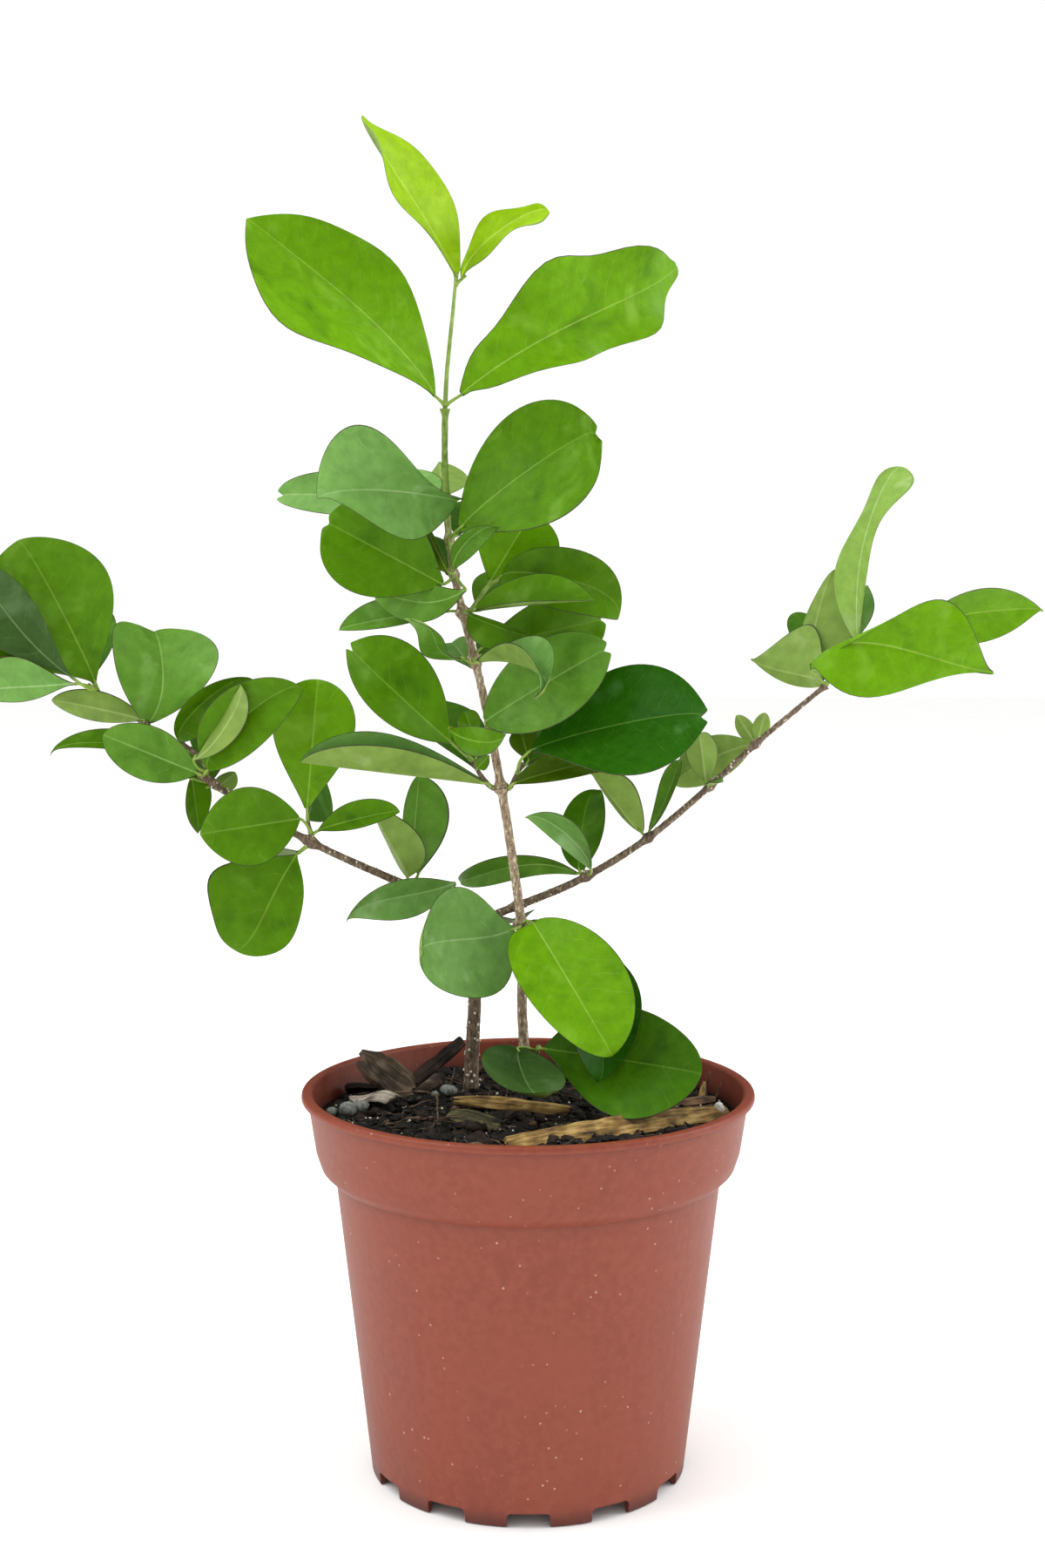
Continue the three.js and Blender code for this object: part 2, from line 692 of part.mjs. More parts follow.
const rightFirst = {
  foot: [15, 16, 158.1],
  leaves: [
    {
      at: [-1.7, 3.5, -0.6], heading: 151, rise: -8, roll: -122, length: 37, width: 11.5,
      widest: 0.53, foot: 1.1, tip: 1.4, skew: 0.06, lean: -0.29, fold: 20, bend: -0.16, sway: -0.04,
      arch: 0.09,
    },
    {
      at: [1.6, -6, 2.2], heading: -160, rise: 38, roll: -125, length: 23.5, width: 12,
      widest: 0.59, foot: 1.2, tip: 1.1, skew: -0.07, lean: -0.39, fold: 28, twist: 20, bend: -0.19,
      arch: 0.06,
    },
    {
      at: [-1.1, 2, 0.4], heading: 60, rise: 63, roll: 12, length: 23.5, width: 13,
      widest: 0.5, foot: 1.3, tip: 0.9, skew: -0.06, lean: -0.1, twist: -7, bend: 0.07, sway: -0.02,
      arch: 0.04,
    },
    { at: [0.1, 4, 0.6], heading: 89, rise: 14, roll: 0, length: 31, width: 11 },
  ],
};

const rightSecond = {
  foot: [31.6, 14, 169],
  leaves: [
    {
      at: [-1, 1, 0.2], heading: -167, rise: 48, roll: 37, length: 22, width: 10,
      foot: 1.2, tip: 2, lean: 0.43, twist: -15, sway: -0.03, arch: 0.03,
    },
    {
      at: [1.4, 2.9, 0.9], heading: 25, rise: 63, roll: 20, length: 20.5, width: 7,
      widest: 0.6, foot: 1.1, skew: 0.03, lean: -0.06, fold: 24, bend: -0.06, sway: -0.02, arch: 0.03,
    },
  ],
};

const rightThird = {
  foot: [47.6, 10.4, 183],
  leaves: [
    { at: [-0.2, -1, 0], heading: -108, rise: 59, roll: 16, length: 16.5, width: 9 },
    { at: [0, -1.5, -0.5], heading: -50, rise: 15, roll: 20, length: 6, width: 4 },
  ],
};

const rightFourth = {
  foot: [61.1, 11.6, 192.9],
  leaves: [
    {
      at: [-0.6, 1.5, 0.3], heading: 151, rise: -28, roll: 84, length: 26, width: 13,
      widest: 0.6, bend: 0.08,
    },
    { at: [0, 1, 1], heading: 50, rise: 63, roll: -144, length: 8.5, width: 5 },
    { at: [-0.6, 1.5, 1], heading: 130, rise: 45, roll: 128, length: 9.5, width: 5 },
  ],
};

const rightEnd = {
  foot: [78.6, 7.8, 209.4],
  twig: [[3.4, 0.2, 5.2], [8, 0.2, 11.6]],
  leaves: [
    {
      at: [-1, 2.2, -0.2], heading: 64, rise: 72, roll: -198, length: 32, width: 17,
      widest: 0.59, foot: 2.1, tip: 0.9, skew: -0.04, lean: 0.25, twist: -17, bend: -0.19, sway: -0.03,
      arch: 0.1,
    },
    {
      at: [-0.9, 3.2, 0.2], heading: 142, rise: 15, roll: 91, length: 22.5, width: 17,
      widest: 0.44, foot: 1.6, tip: 2.2, skew: 0.1, lean: 0.64, twist: 27, bend: -0.02, sway: 0.03,
      arch: 0.12,
    },
    {
      at: [8.4, -0.8, 11.3], heading: -3, rise: 77, roll: 43, length: 47, width: 16.5,
      widest: 0.69, foot: 0.8, tip: 1.1, skew: -0.1, lean: -0.32, lobes: 0.46, fold: 14, twist: 49,
      bend: 0.06, sway: 0.02, waves: 1.2, arch: 0.08,
    },
    {
      at: [8.4, 2.2, 12], heading: 51, rise: 70, roll: 42, length: 15, width: 6.5,
      widest: 0.58, foot: 1.8, tip: 1.5, skew: -0.03, lean: -0.08, bend: 0.05, sway: -0.02, arch: 0.03,
    },
    {
      at: [-4.8, -3.8, 4.5], heading: -6, rise: -1, roll: 105, length: 47.5, width: 28,
      widest: 0.51, foot: 1.1, tip: 4.8, skew: 0.27, lean: 0.13, fold: 16, twist: 26, bend: 0.13,
      sway: 0.06, wave: 0.05, arch: 0.03,
    },
    {
      at: [18.2, 2.2, 9], heading: 15, rise: 13, roll: 117, length: 44.5, width: 18,
      widest: 0.52, foot: 1.8, tip: 2.2, lean: 0.07, twist: -29, bend: 0.1, sway: 0.03, arch: -0.03,
    },
    { at: [1.9, 5.2, 0.6], heading: 52, rise: 8, roll: 0, length: 47.5, width: 22 },
    { at: [1.1, 6.2, 1.5], heading: 87, rise: 21, roll: 0, length: 41, width: 20 },
  ],
};

const leftLow = {
  foot: [-20.4, 16.8, 150.9],
  leaves: [
    {
      at: [0.7, -4, 5], heading: -161, rise: -17, roll: -103, length: 31.5, width: 14.5,
      widest: 0.54, foot: 2.1, tip: 1.9, lean: -0.15, fold: 26, twist: -25, bend: -0.1, sway: 0.04,
      arch: 0.07,
    },
  ],
};

const leftFirst = {
  foot: [-31.5, 15, 155.9],
  leaves: [
    {
      at: [1.8, 2, 1.9], heading: 87, rise: 83, roll: 35, length: 26.5, width: 14.5,
      widest: 0.55, foot: 1.8, tip: 1.1, lean: -0.3, twist: -18, bend: 0.06, sway: 0.02, arch: 0.03,
    },
    {
      at: [-1, -1, 1.2], heading: -155, rise: 63, roll: 28, length: 22.5, width: 18,
      widest: 0.4, foot: 1.6, tip: 1.7, skew: -0.04, lean: -0.15, fold: 30, twist: -18, bend: 0.03,
      sway: 0.02, arch: -0.01,
    },
  ],
};

const leftFork = {
  foot: [-58, 9.6, 169.2],
  twig: [[-0.9, 0, 3.6]],
  leaves: [
    { at: [-1, 0.5, 7.2], heading: 34, rise: 84, roll: 61, length: 34.5, width: 23, widest: 0.68, fold: 10 },
    { at: [2, 0.5, 1.2], heading: -10, rise: 14, roll: 56, length: 23, width: 10, tip: 1.2, fold: 24 },
    { at: [-2.7, -3.5, 4.9], heading: -158, rise: -6, roll: -81, length: 27, width: 22, tip: 1.4 },
    { at: [-1.4, 4.5, 3.9], heading: 97, rise: 25, roll: 78, length: 37.5, width: 22 },
  ],
};

const leftHanging = {
  foot: [-58.3, 9.3, 165.6],
  leaves: [
    {
      at: [-3.5, -1.3, -1.5], heading: -158, rise: -54, roll: -78, length: 30, width: 27,
      widest: 0.57, foot: 2, tip: 0.9, skew: -0.03, lean: -0.28, lobes: 0.05, fold: 4, twist: -13,
      bend: 0.05, sway: -0.03, waves: 1.9,
    },
    { at: [-3, 2.7, -1.4], heading: 114, rise: -19, roll: 0, length: 39.5, width: 22 },
  ],
};

const leftInner = {
  foot: [-84.6, 4.8, 187],
  twig: [[-3.5, 1.5, 4.5], [-7.4, 3.8, 7]],
  leaves: [
    { at: [-2.4, -3, -0.3], heading: -161, rise: 24, roll: -89, length: 26.5, width: 15 },
    {
      at: [-8.6, 7, 1.8], heading: 173, rise: 2, roll: -48, length: 35.5, width: 8,
      tip: 1.8, fold: 22, bend: -0.1,
    },
    {
      at: [-8, 4.6, 7.3], heading: -6, rise: 40, roll: 125, length: 26, width: 15,
      widest: 0.5, tip: 1.6, fold: 30, bend: 0.2,
    },
    { at: [-2.6, -7, 3.7], heading: -31, rise: 53, roll: -90, length: 25.5, width: 8, tip: 1.4, bend: 0.1 },
    {
      at: [0.4, -3, 0.5], heading: -17, rise: 39, roll: 102, length: 35, width: 18,
      widest: 0.5, fold: 14, bend: 0.12,
    },
    { at: [0.4, 2.5, 0], heading: 81, rise: 14, roll: 0, length: 35.5, width: 22 },
  ],
};

const leftUnder = {
  foot: [-84.4, 5.3, 182],
  leaves: [
    {
      at: [-4.8, 0.7, 2.6], heading: 189, rise: -96, roll: -127, length: 14.5, width: 9.5,
      widest: 0.4, foot: 1.4, tip: 1.7, skew: -0.09, twist: -7, arch: 0.03,
    },
    { at: [1.3, 2.9, -0.4], heading: 39, rise: 34, roll: -134, length: 7.5, width: 6 },
    { at: [-2, 3.7, -0.2], heading: 108, rise: 11, roll: 0, length: 35.5, width: 20 },
  ],
};

const leftEnd = {
  foot: [-101.2, 4.8, 199.6],
  twig: [[-7.9, -0.3, 5.5], [-14.3, -1.8, 10.2]],
  leaves: [
    { at: [0.4, -0.8, 1], heading: -165, rise: 13, roll: 73, length: 24.5, width: 9, tip: 1.4 },
    {
      at: [1.1, 0.2, -0.1], heading: 97, rise: 55, roll: 7, length: 29.5, width: 30,
      widest: 0.49, foot: 1.1, tip: 1.3, skew: 0.03, lobes: 0.04, notch: 0.1, fold: 14, twist: 13,
      bend: -0.1, sway: -0.02, waves: 1.5, arch: 0.26,
    },
    {
      at: [-12.5, -0.8, 10.9], heading: -163, rise: 63, roll: -95, length: 41.5, width: 40,
      widest: 0.61, foot: 2, tip: 1.3, lean: 0.2, twist: -13, bend: -0.03,
    },
    {
      at: [-16.4, -6.8, 11.8], heading: -159, rise: 46, roll: -92, length: 41.5, width: 16.5,
      widest: 0.64, foot: 2.4, tip: 1.3, skew: 0.04, lean: 0.09, sway: 0.03,
    },
    {
      at: [-15.8, -8.8, 10.9], heading: -157, rise: -7, roll: -67, length: 27, width: 13,
      widest: 0.61, foot: 2.5, tip: 1.6, lean: -0.26, twist: -20, bend: -0.04, sway: 0.02,
    },
    { at: [0.9, 4.2, 0.6], heading: 89, rise: 17, roll: 0, length: 34.5, width: 22 },
    { at: [-14, 1.2, 11.9], heading: 112, rise: 25, roll: 0, length: 40.5, width: 22 },
  ],
};

const masses = {
  foliage_top: topShoot,
  foliage_crown_left: crownLeft,
  foliage_crown_right: crownRight,
  foliage_crown_low_left: crownLowLeft,
  foliage_upper_left: upperLeft,
  foliage_upper_right: upperRight,
  foliage_stem_left: stemLeft,
  foliage_stem_right: stemRight,
  foliage_middle_right: middleRight,
  foliage_low_left: lowLeft,
  foliage_low_right: lowRight,
  foliage_basal: basal,
  foliage_basal_rear: basalRear,
  foliage_ground: groundShoot,
  foliage_right_first: rightFirst,
  foliage_right_second: rightSecond,
  foliage_right_third: rightThird,
  foliage_right_fourth: rightFourth,
  foliage_right_end: rightEnd,
  foliage_left_low: leftLow,
  foliage_left_first: leftFirst,
  foliage_left_fork: leftFork,
  foliage_left_hanging: leftHanging,
  foliage_left_inner: leftInner,
  foliage_left_under: leftUnder,
  foliage_left_end: leftEnd,
};

const plant = new THREE.Group();
plant.name = "potted_barbados_cherry_tree";
plant.add(meshOf("pot", potBody(), material(0xa85544, 0.55)));
plant.add(meshOf("potting_mix", pottingMix(), material(0x2b211a, 0.95)));

const limbs = {
  main_stem: mainStem,
  second_stem: secondStem,
  right_bough: rightBough,
  left_bough: leftBough,
};
for (const [name, one] of Object.entries(limbs)) {
  plant.add(meshOf(name, one.body, material(0x7a6552, 0.85)));
}
const grownMasses = [];
for (const [name, mass] of Object.entries(masses)) {
  const body = foliage(mass, Object.values(limbs), grownMasses);
  grownMasses.push(body);
  plant.add(meshOf(name, body, material(0x5f9a24, 0.5)));
}

export default plant;
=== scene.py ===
# A young barbados cherry tree in a nursery pot: the looks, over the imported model. Shapes are given in mm.
import bpy
import bmesh
import math
import random
import numpy as np
from mathutils import Euler, Matrix, Vector, noise


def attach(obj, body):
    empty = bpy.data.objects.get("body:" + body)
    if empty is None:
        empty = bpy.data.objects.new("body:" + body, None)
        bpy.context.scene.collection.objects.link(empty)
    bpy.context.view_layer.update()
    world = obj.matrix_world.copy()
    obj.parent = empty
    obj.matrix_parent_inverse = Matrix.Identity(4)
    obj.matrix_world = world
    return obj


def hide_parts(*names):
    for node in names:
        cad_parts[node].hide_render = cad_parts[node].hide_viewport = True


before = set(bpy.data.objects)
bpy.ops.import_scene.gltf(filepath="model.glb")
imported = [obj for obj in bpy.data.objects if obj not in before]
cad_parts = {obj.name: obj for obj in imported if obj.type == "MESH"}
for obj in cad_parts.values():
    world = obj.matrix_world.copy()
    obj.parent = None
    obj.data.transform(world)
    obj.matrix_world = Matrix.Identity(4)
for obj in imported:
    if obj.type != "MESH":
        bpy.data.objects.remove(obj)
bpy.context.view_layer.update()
mm = 0.001
weld = 1e-6  # metres: corners nearer than this are one


# Colours and nodes
def tone(code):  # an sRGB hex colour as linear values
    parts = [int(code[i:i + 2], 16) / 255 for i in (1, 3, 5)]
    return [*((c / 12.92 if c < 0.04045 else ((c + 0.055) / 1.055) ** 2.4) for c in parts), 1]


def perSize(size):  # texture scale that gives features about this many mm wide
    return 1000 / size


def newMaterial(name):
    material = bpy.data.materials.new(name)
    material.use_nodes = True
    return material


def feed(skin, node, inputs):  # each input is a value, an sRGB hex or another node's socket
    for key, value in inputs.items():
        if isinstance(value, bpy.types.NodeSocket):
            skin.node_tree.links.new(value, node.inputs[key])
        else:
            node.inputs[key].default_value = tone(value) if isinstance(value, str) else value


def addNode(skin, kind, inputs=None, **settings):
    node = skin.node_tree.nodes.new("ShaderNode" + kind)
    for key, value in settings.items():
        setattr(node, key, value)
    feed(skin, node, inputs or {})
    return node


def objectPlace(skin):
    return addNode(skin, "TexCoord").outputs["Object"]


def clouds(skin, place, size, detail=2, **more):  # noise with features about size mm wide
    inputs = {"Vector": place, "Scale": perSize(size), "Detail": detail, **more}
    return addNode(skin, "TexNoise", inputs).outputs["Fac"]


def remap(skin, value, low, high, start=0, end=1, **settings):
    inputs = {"Value": value, 1: low, 2: high, 3: start, 4: end}
    return addNode(skin, "MapRange", inputs, **settings).outputs[0]


def calc(skin, operation, *values, **settings):
    return addNode(skin, "Math", dict(enumerate(values)), operation=operation, **settings).outputs[0]


def blend(skin, share, first, second):
    return addNode(skin, "Mix", {0: share, 6: first, 7: second}, data_type="RGBA").outputs[2]


def ramp(skin, share, *stops):
    node = addNode(skin, "ValToRGB", {"Fac": share})
    marks = node.color_ramp.elements
    for place, code in stops:
        mark = marks[0] if place == stops[0][0] else marks[-1] if place == stops[-1][0] else marks.new(place)
        mark.position = place
        mark.color = tone(code)
    return node.outputs[0]


def relief(skin, height, strength, depth, **more):  # bumps up to depth mm
    inputs = {"Height": height, "Strength": strength, "Distance": depth * mm, **more}
    return addNode(skin, "Bump", inputs).outputs[0]


def coat(skin, inputs):  # gives the shader its inputs
    feed(skin, skin.node_tree.nodes["Principled BSDF"], inputs)
    return skin


# A simple finish: patches about size mm wide drift between tones, and bumps may follow them
def grainySkin(name, size, stops, roughness, detail=2, bumps=None):
    skin = newMaterial(name)
    grain = clouds(skin, objectPlace(skin), size, detail)
    if bumps:
        coat(skin, {"Normal": relief(skin, grain, *bumps)})
    return coat(skin, {"Base Color": ramp(skin, grain, *stops), "Roughness": roughness})


# Meshes and pieces
def meshOf(bm, name):
    mesh = bpy.data.meshes.new(name)
    bm.to_mesh(mesh)
    bm.free()
    return mesh


def addObject(name, data):
    thing = bpy.data.objects.new(name, data)
    bpy.context.collection.objects.link(thing)
    return thing


def finishPiece(mesh, name, materials, sharpAngle=None):
    piece = addObject(name, mesh)
    for material in materials:
        mesh.materials.append(material)
    mesh.shade_smooth()
    if sharpAngle:
        mesh.set_sharp_from_angle(angle=sharpAngle)
    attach(piece, "root")
    return piece


# A joined mesh from arrays of places in mm, faces, the material of each face and values by vertex
def joinedMesh(name, parts):
    mesh = bpy.data.meshes.new(name)
    starts = np.cumsum([0] + [len(part["places"]) for part in parts])
    places = np.concatenate([part["places"] for part in parts]) * mm
    faces = np.concatenate([part["faces"] + start for part, start in zip(parts, starts)])
    mesh.from_pydata(places.tolist(), [], faces.tolist())
    mesh.polygons.foreach_set("material_index", np.concatenate([part["kinds"] for part in parts]))
    for key in [key for key in parts[0] if key not in ("places", "faces", "kinds")]:
        values = np.concatenate([part[key] for part in parts])
        if values.ndim == 2:
            mesh.uv_layers.new(name=key).data.foreach_set("uv", values[faces.ravel()].ravel())
        else:
            mesh.attributes.new(key, "FLOAT", "POINT").data.foreach_set("value", values)
    return mesh


def turnOf(heading, rise, roll):  # degrees: a roll about X, then a rise, then a heading about Z
    return Euler((math.radians(roll), math.radians(-rise), math.radians(heading))).to_matrix()


# A round body turned from an outline of radii and heights in mm
def turned(outline, steps):
    bm = bmesh.new()
    points = [bm.verts.new((radius * mm, 0, z * mm)) for radius, z in outline]
    edges = [bm.edges.new(pair) for pair in zip(points, points[1:])]
    bmesh.ops.spin(bm, geom=points + edges, cent=(0, 0, 0), axis=(0, 0, 1), angle=2 * math.pi,
                   steps=steps, use_merge=True)
    bmesh.ops.remove_doubles(bm, verts=bm.verts, dist=weld)
    bmesh.ops.recalc_face_normals(bm, faces=bm.faces)
    return bm


# Evenly spaced places on a smooth curve through the points, a centripetal Catmull-Rom as in the solids
def smoothPath(points, spacing):
    points = [Vector(point) for point in points]
    chain = [points[0] * 2 - points[1], *points, points[-1] * 2 - points[-2]]
    fine = []
    for a, b, c, d in zip(chain, chain[1:], chain[2:], chain[3:]):
        t1 = (b - a).length ** 0.5
        t2 = t1 + (c - b).length ** 0.5
        t3 = t2 + (d - c).length ** 0.5
        for step in range(16):
            t = t1 + (t2 - t1) * step / 16
            ab, bc, cd = a.lerp(b, t / t1), b.lerp(c, (t - t1) / (t2 - t1)), c.lerp(d, (t - t2) / (t3 - t2))
            abc, bcd = ab.lerp(bc, t / t2), bc.lerp(cd, (t - t1) / (t3 - t1))
            fine.append(abc.lerp(bcd, (t - t1) / (t2 - t1)))
    fine = np.array([*fine, points[-1]])
    along = np.concatenate([[0], np.cumsum(np.linalg.norm(np.diff(fine, axis=0), axis=1))])
    stops = np.linspace(0, along[-1], max(3, round(along[-1] / spacing) + 1))
    return np.stack([np.interp(stops, along, fine[:, axis]) for axis in range(3)], axis=1), stops


# Round limbs and stalks as one mesh: each path is its places and its radius at each place, in mm
def tubes(name, paths, roundness):
    curve = bpy.data.curves.new(name, "CURVE")
    curve.dimensions = "3D"
    curve.bevel_depth = mm
    curve.bevel_resolution = roundness
    curve.use_fill_caps = True
    for places, radii in paths:
        spline = curve.splines.new("POLY")
        spline.points.add(len(places) - 1)
        spline.points.foreach_set("co", np.c_[np.array(places) * mm, np.ones(len(places))].ravel())
        spline.points.foreach_set("radius", np.array(radii, dtype=float))
    holder = addObject(name, curve)
    view = bpy.context.evaluated_depsgraph_get()
    bm = bmesh.new()
    bm.from_mesh(holder.evaluated_get(view).to_mesh())
    bpy.data.objects.remove(holder)
    bmesh.ops.remove_doubles(bm, verts=bm.verts, dist=weld)
    bmesh.ops.recalc_face_normals(bm, faces=bm.faces)
    return meshOf(bm, name)


# The pot
pot = {
    "height": 103, "rimRadius": 60, "rimHeight": 1.8, "collarTop": 58.3, "collarFoot": 56.3, "collarZ": 87.6,
    "shoulder": 51.2, "shoulderZ": 80.6, "lip": 1.2, "foot": 42, "wall": 1.3, "raisedFloor": 3.7,
    "padRadius": 12, "notches": 12, "notchWidth": 11, "notchDepth": 8, "notchRound": 1.2, "drains": 6,
    "drainRadius": 3.5, "drainRing": 27, "steps": 168, "edgeRound": 0.35, "sharpAngle": 38,
}


def mouldedPlastic():
    # Injection-moulded polypropylene in terracotta: satin, faintly clouded, with dust and scuffs on it and
    # painted shade in its angles
    skin = newMaterial("terracotta polypropylene")
    place = objectPlace(skin)
    cloud, fine = clouds(skin, place, 28, 3), clouds(skin, place, 2.2, 4)
    base = ramp(skin, cloud, (0.3, "#7b3019"), (0.52, "#81351c"), (0.75, "#873a21"))
    paled = blend(skin, remap(skin, fine, 0.35, 0.75), base, "#893e27")
    # dust specks about 0.4 mm wide in loose drifts, larger than real so that they show
    speck = addNode(skin, "TexVoronoi", {"Vector": place, "Scale": perSize(3.2)}).outputs["Distance"]
    drift = remap(skin, clouds(skin, place, 17), 0.44, 0.62)
    dust = calc(skin, "MULTIPLY", remap(skin, speck, 0.06, 0.12, 1, 0), drift)
    dusty = blend(skin, dust, paled, "#bd9080")
    # painted shade: the colour darkens in the angles, most under the collar, where less light comes in
    light = addNode(skin, "AmbientOcclusion", {"Distance": 0.005}, samples=6).outputs["AO"]
    shadedInAngles = blend(skin, remap(skin, light, 0.5, 1, 0.8, 0), dusty, "#4a170c")
    return coat(skin, {"Base Color": shadedInAngles, "Normal": relief(skin, fine, 0.12, 0.3),
                       "Roughness": remap(skin, cloud, 0, 1, 0.46, 0.6), "IOR": 1.49})


def potShell():
    height, wall, innerTop = pot["height"], pot["wall"], pot["collarTop"] - pot["wall"]
    bead, floorTop = pot["height"] - pot["rimHeight"], pot["raisedFloor"] + pot["wall"]
    bm = turned([
        (0, 0), (pot["padRadius"], 0), (pot["padRadius"] + 0.6, pot["raisedFloor"]),
        (pot["foot"] - wall - 0.6, pot["raisedFloor"]), (pot["foot"] - wall, 0), (pot["foot"], 0),
        (pot["shoulder"], pot["shoulderZ"]), (pot["shoulder"] + pot["lip"], pot["shoulderZ"] + 0.2),
        (pot["collarFoot"] - 1.4, pot["collarZ"] - 4.3), (pot["collarFoot"], pot["collarZ"]),
        (pot["collarTop"], bead - 0.3), (pot["rimRadius"], bead), (pot["rimRadius"], height - 0.6),
        (pot["rimRadius"] - 0.5, height), (innerTop + 0.5, height), (innerTop, height - 0.5),
        (pot["collarFoot"] - wall, pot["collarZ"] + 1),
        (pot["shoulder"] - wall + 0.8, pot["shoulderZ"] + 2.6), (pot["shoulder"] - wall, pot["shoulderZ"]),
        (pot["foot"] - wall + 0.6, floorTop), (pot["padRadius"] + 0.2, floorTop),
        (pot["padRadius"] - wall, wall), (0, wall),
    ], pot["steps"])
    corners = [e for e in bm.edges if len(e.link_faces) == 2 and e.calc_face_angle() > 0.2
               and abs(e.verts[0].co.z - e.verts[1].co.z) < weld]
    bmesh.ops.bevel(bm, geom=corners, offset=pot["edgeRound"] * mm, segments=2, profile=0.5,
                    affect="EDGES", material=-1, clamp_overlap=True)
    return meshOf(bm, "nursery_pot")


def potCuts():  # the notches of the foot and the drain holes
    bm = bmesh.new()
    for index in range(pot["notches"]):
        turn = Matrix.Rotation(index * 2 * math.pi / pot["notches"], 4, "Z")
        shift = Matrix.Translation((0, (0.4 - pot["foot"]) * mm, 0))
        block = (pot["notchWidth"] * mm, pot["notchDepth"] * mm, 2 * pot["raisedFloor"] * mm)
        size = Matrix.Diagonal((*block, 1))
        box = bmesh.ops.create_cube(bm, size=1, matrix=turn @ shift @ size)["verts"]
        across = turn @ Vector((1, 0, 0))
        sides = dict.fromkeys(edge for vert in box for edge in vert.link_edges
                              if abs((edge.verts[0].co - edge.verts[1].co).z) < weld
                              and abs((edge.verts[0].co - edge.verts[1].co).dot(across)) < weld
                              and edge.verts[0].co.z > 0)
        bmesh.ops.bevel(bm, geom=list(sides), offset=pot["notchRound"] * mm, segments=4, profile=0.5,
                        affect="EDGES", material=-1)
    for index in range(pot["drains"]):
        turn = Matrix.Rotation((index + 0.5) * 2 * math.pi / pot["drains"], 4, "Z")
        shift = Matrix.Translation((pot["drainRing"] * mm, 0, (pot["raisedFloor"] + pot["wall"]) * mm))
        bmesh.ops.create_cone(bm, cap_ends=True, segments=32, radius1=pot["drainRadius"] * mm,
                              radius2=pot["drainRadius"] * mm, depth=8 * mm, matrix=turn @ shift)
    return meshOf(bm, "cuts")


def buildPot():
    shell, cuts = addObject("shell", potShell()), addObject("cuts", potCuts())
    cut = shell.modifiers.new("notches", "BOOLEAN")
    cut.operation, cut.object, cut.solver = "DIFFERENCE", cuts, "EXACT"
    view = bpy.context.evaluated_depsgraph_get()
    mesh = bpy.data.meshes.new_from_object(shell.evaluated_get(view))
    for one in (shell, cuts):
        bpy.data.objects.remove(one)
    sharp = math.radians(pot["sharpAngle"])
    piece = finishPiece(mesh, "nursery_pot", [mouldedPlastic()], sharp)
    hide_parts("pot")
    print("pot:", len(mesh.polygons), "faces")


buildPot()


# The potting mix
mix = {
    "top": 96.3, "mound": 0.9, "radius": 55.7, "lumps": 1.3, "clearOfWall": 0.35, "rings": 64, "steps": 180,
    "crumbs": 950, "grains": 3600, "perlite": 250, "looseChips": 46, "fibres": 130, "chipReach": 55,
    "fibreReach": 54, "seed": 7,
}
chance = random.Random(mix["seed"])


def soilHeight(x, y):
    lump = noise.fractal(Vector((x, y, 0)) / 7, 0.9, 2.1, 4)
    edge = min(1, max(0, (mix["radius"] - math.hypot(x, y)) / 4))
    return mix["top"] - mix["mound"] * (math.hypot(x, y) / mix["radius"]) ** 2 + mix["lumps"] * lump * edge


# Damp peat and composted bark: nearly black, crumbly, with a few wet glints
def peat(name, dark, light, roughness, grain):
    return grainySkin(name, grain, [(0.35, dark), (0.7, light)], roughness, 6, (0.8, 0.6))


def buildSoil():
    wall = pot["wall"] + mix["clearOfWall"]
    floorZ = pot["raisedFloor"] + wall
    inner = [mix["radius"] * math.sqrt(i / mix["rings"]) for i in range(mix["rings"] + 1)]
    bm = turned([(radius, mix["top"]) for radius in inner] + [
        (pot["collarFoot"] - wall - 0.3, pot["collarZ"] + 1.4),
        (pot["shoulder"] - wall + 0.4, pot["shoulderZ"] + 2.6), (pot["shoulder"] - wall, pot["shoulderZ"]),
        (pot["foot"] - wall + 0.6, floorZ), (0, floorZ),
    ], mix["steps"])
    for vert in bm.verts:
        if vert.co.z > (mix["top"] - 0.01) * mm:
            vert.co.z = soilHeight(vert.co.x / mm, vert.co.y / mm) * mm
    mesh = meshOf(bm, "soil")
    piece = finishPiece(mesh, "soil", [peat("damp peat", "#080503", "#1f160d", 0.8, 1.6)])
    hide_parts("potting_mix")
    print("soil:", len(mesh.polygons), "faces")


# Lumps in joined arrays: a rough ball in several shapes, set down at each place with its size and material
def lumps(name, spots, materials, detail, variants=5):
    shapes = []
    for variant in range(variants):
        bm = bmesh.new()
        bmesh.ops.create_icosphere(bm, subdivisions=detail, radius=1)
        for vert in bm.verts:
            vert.co *= 1 + 0.45 * noise.noise(vert.co * 1.3 + Vector((variant * 9.1, 0, 0)))
        bm.verts.index_update()
        shapes.append((np.array([vert.co[:] for vert in bm.verts]),
                       np.array([[vert.index for vert in face.verts] for face in bm.faces])))
        bm.free()
    parts = []
    for place, size, kind in spots:
        verts, faces = shapes[chance.randrange(variants)]
        turn = np.array(Euler([chance.uniform(0, 6.28) for _ in range(3)]).to_matrix())
        parts.append({"places": (verts @ turn.T) * np.array(size) + np.array(place), "faces": faces,
                      "kinds": np.full(len(faces), kind)})
    return finishPiece(joinedMesh(name, parts), name, materials)


def onSoil(reach, low=0.0):
    angle, radius = chance.uniform(0, 2 * math.pi), reach * math.sqrt(chance.random())
    x, y = radius * math.cos(angle), radius * math.sin(angle)
    return x, y, soilHeight(x, y) + low


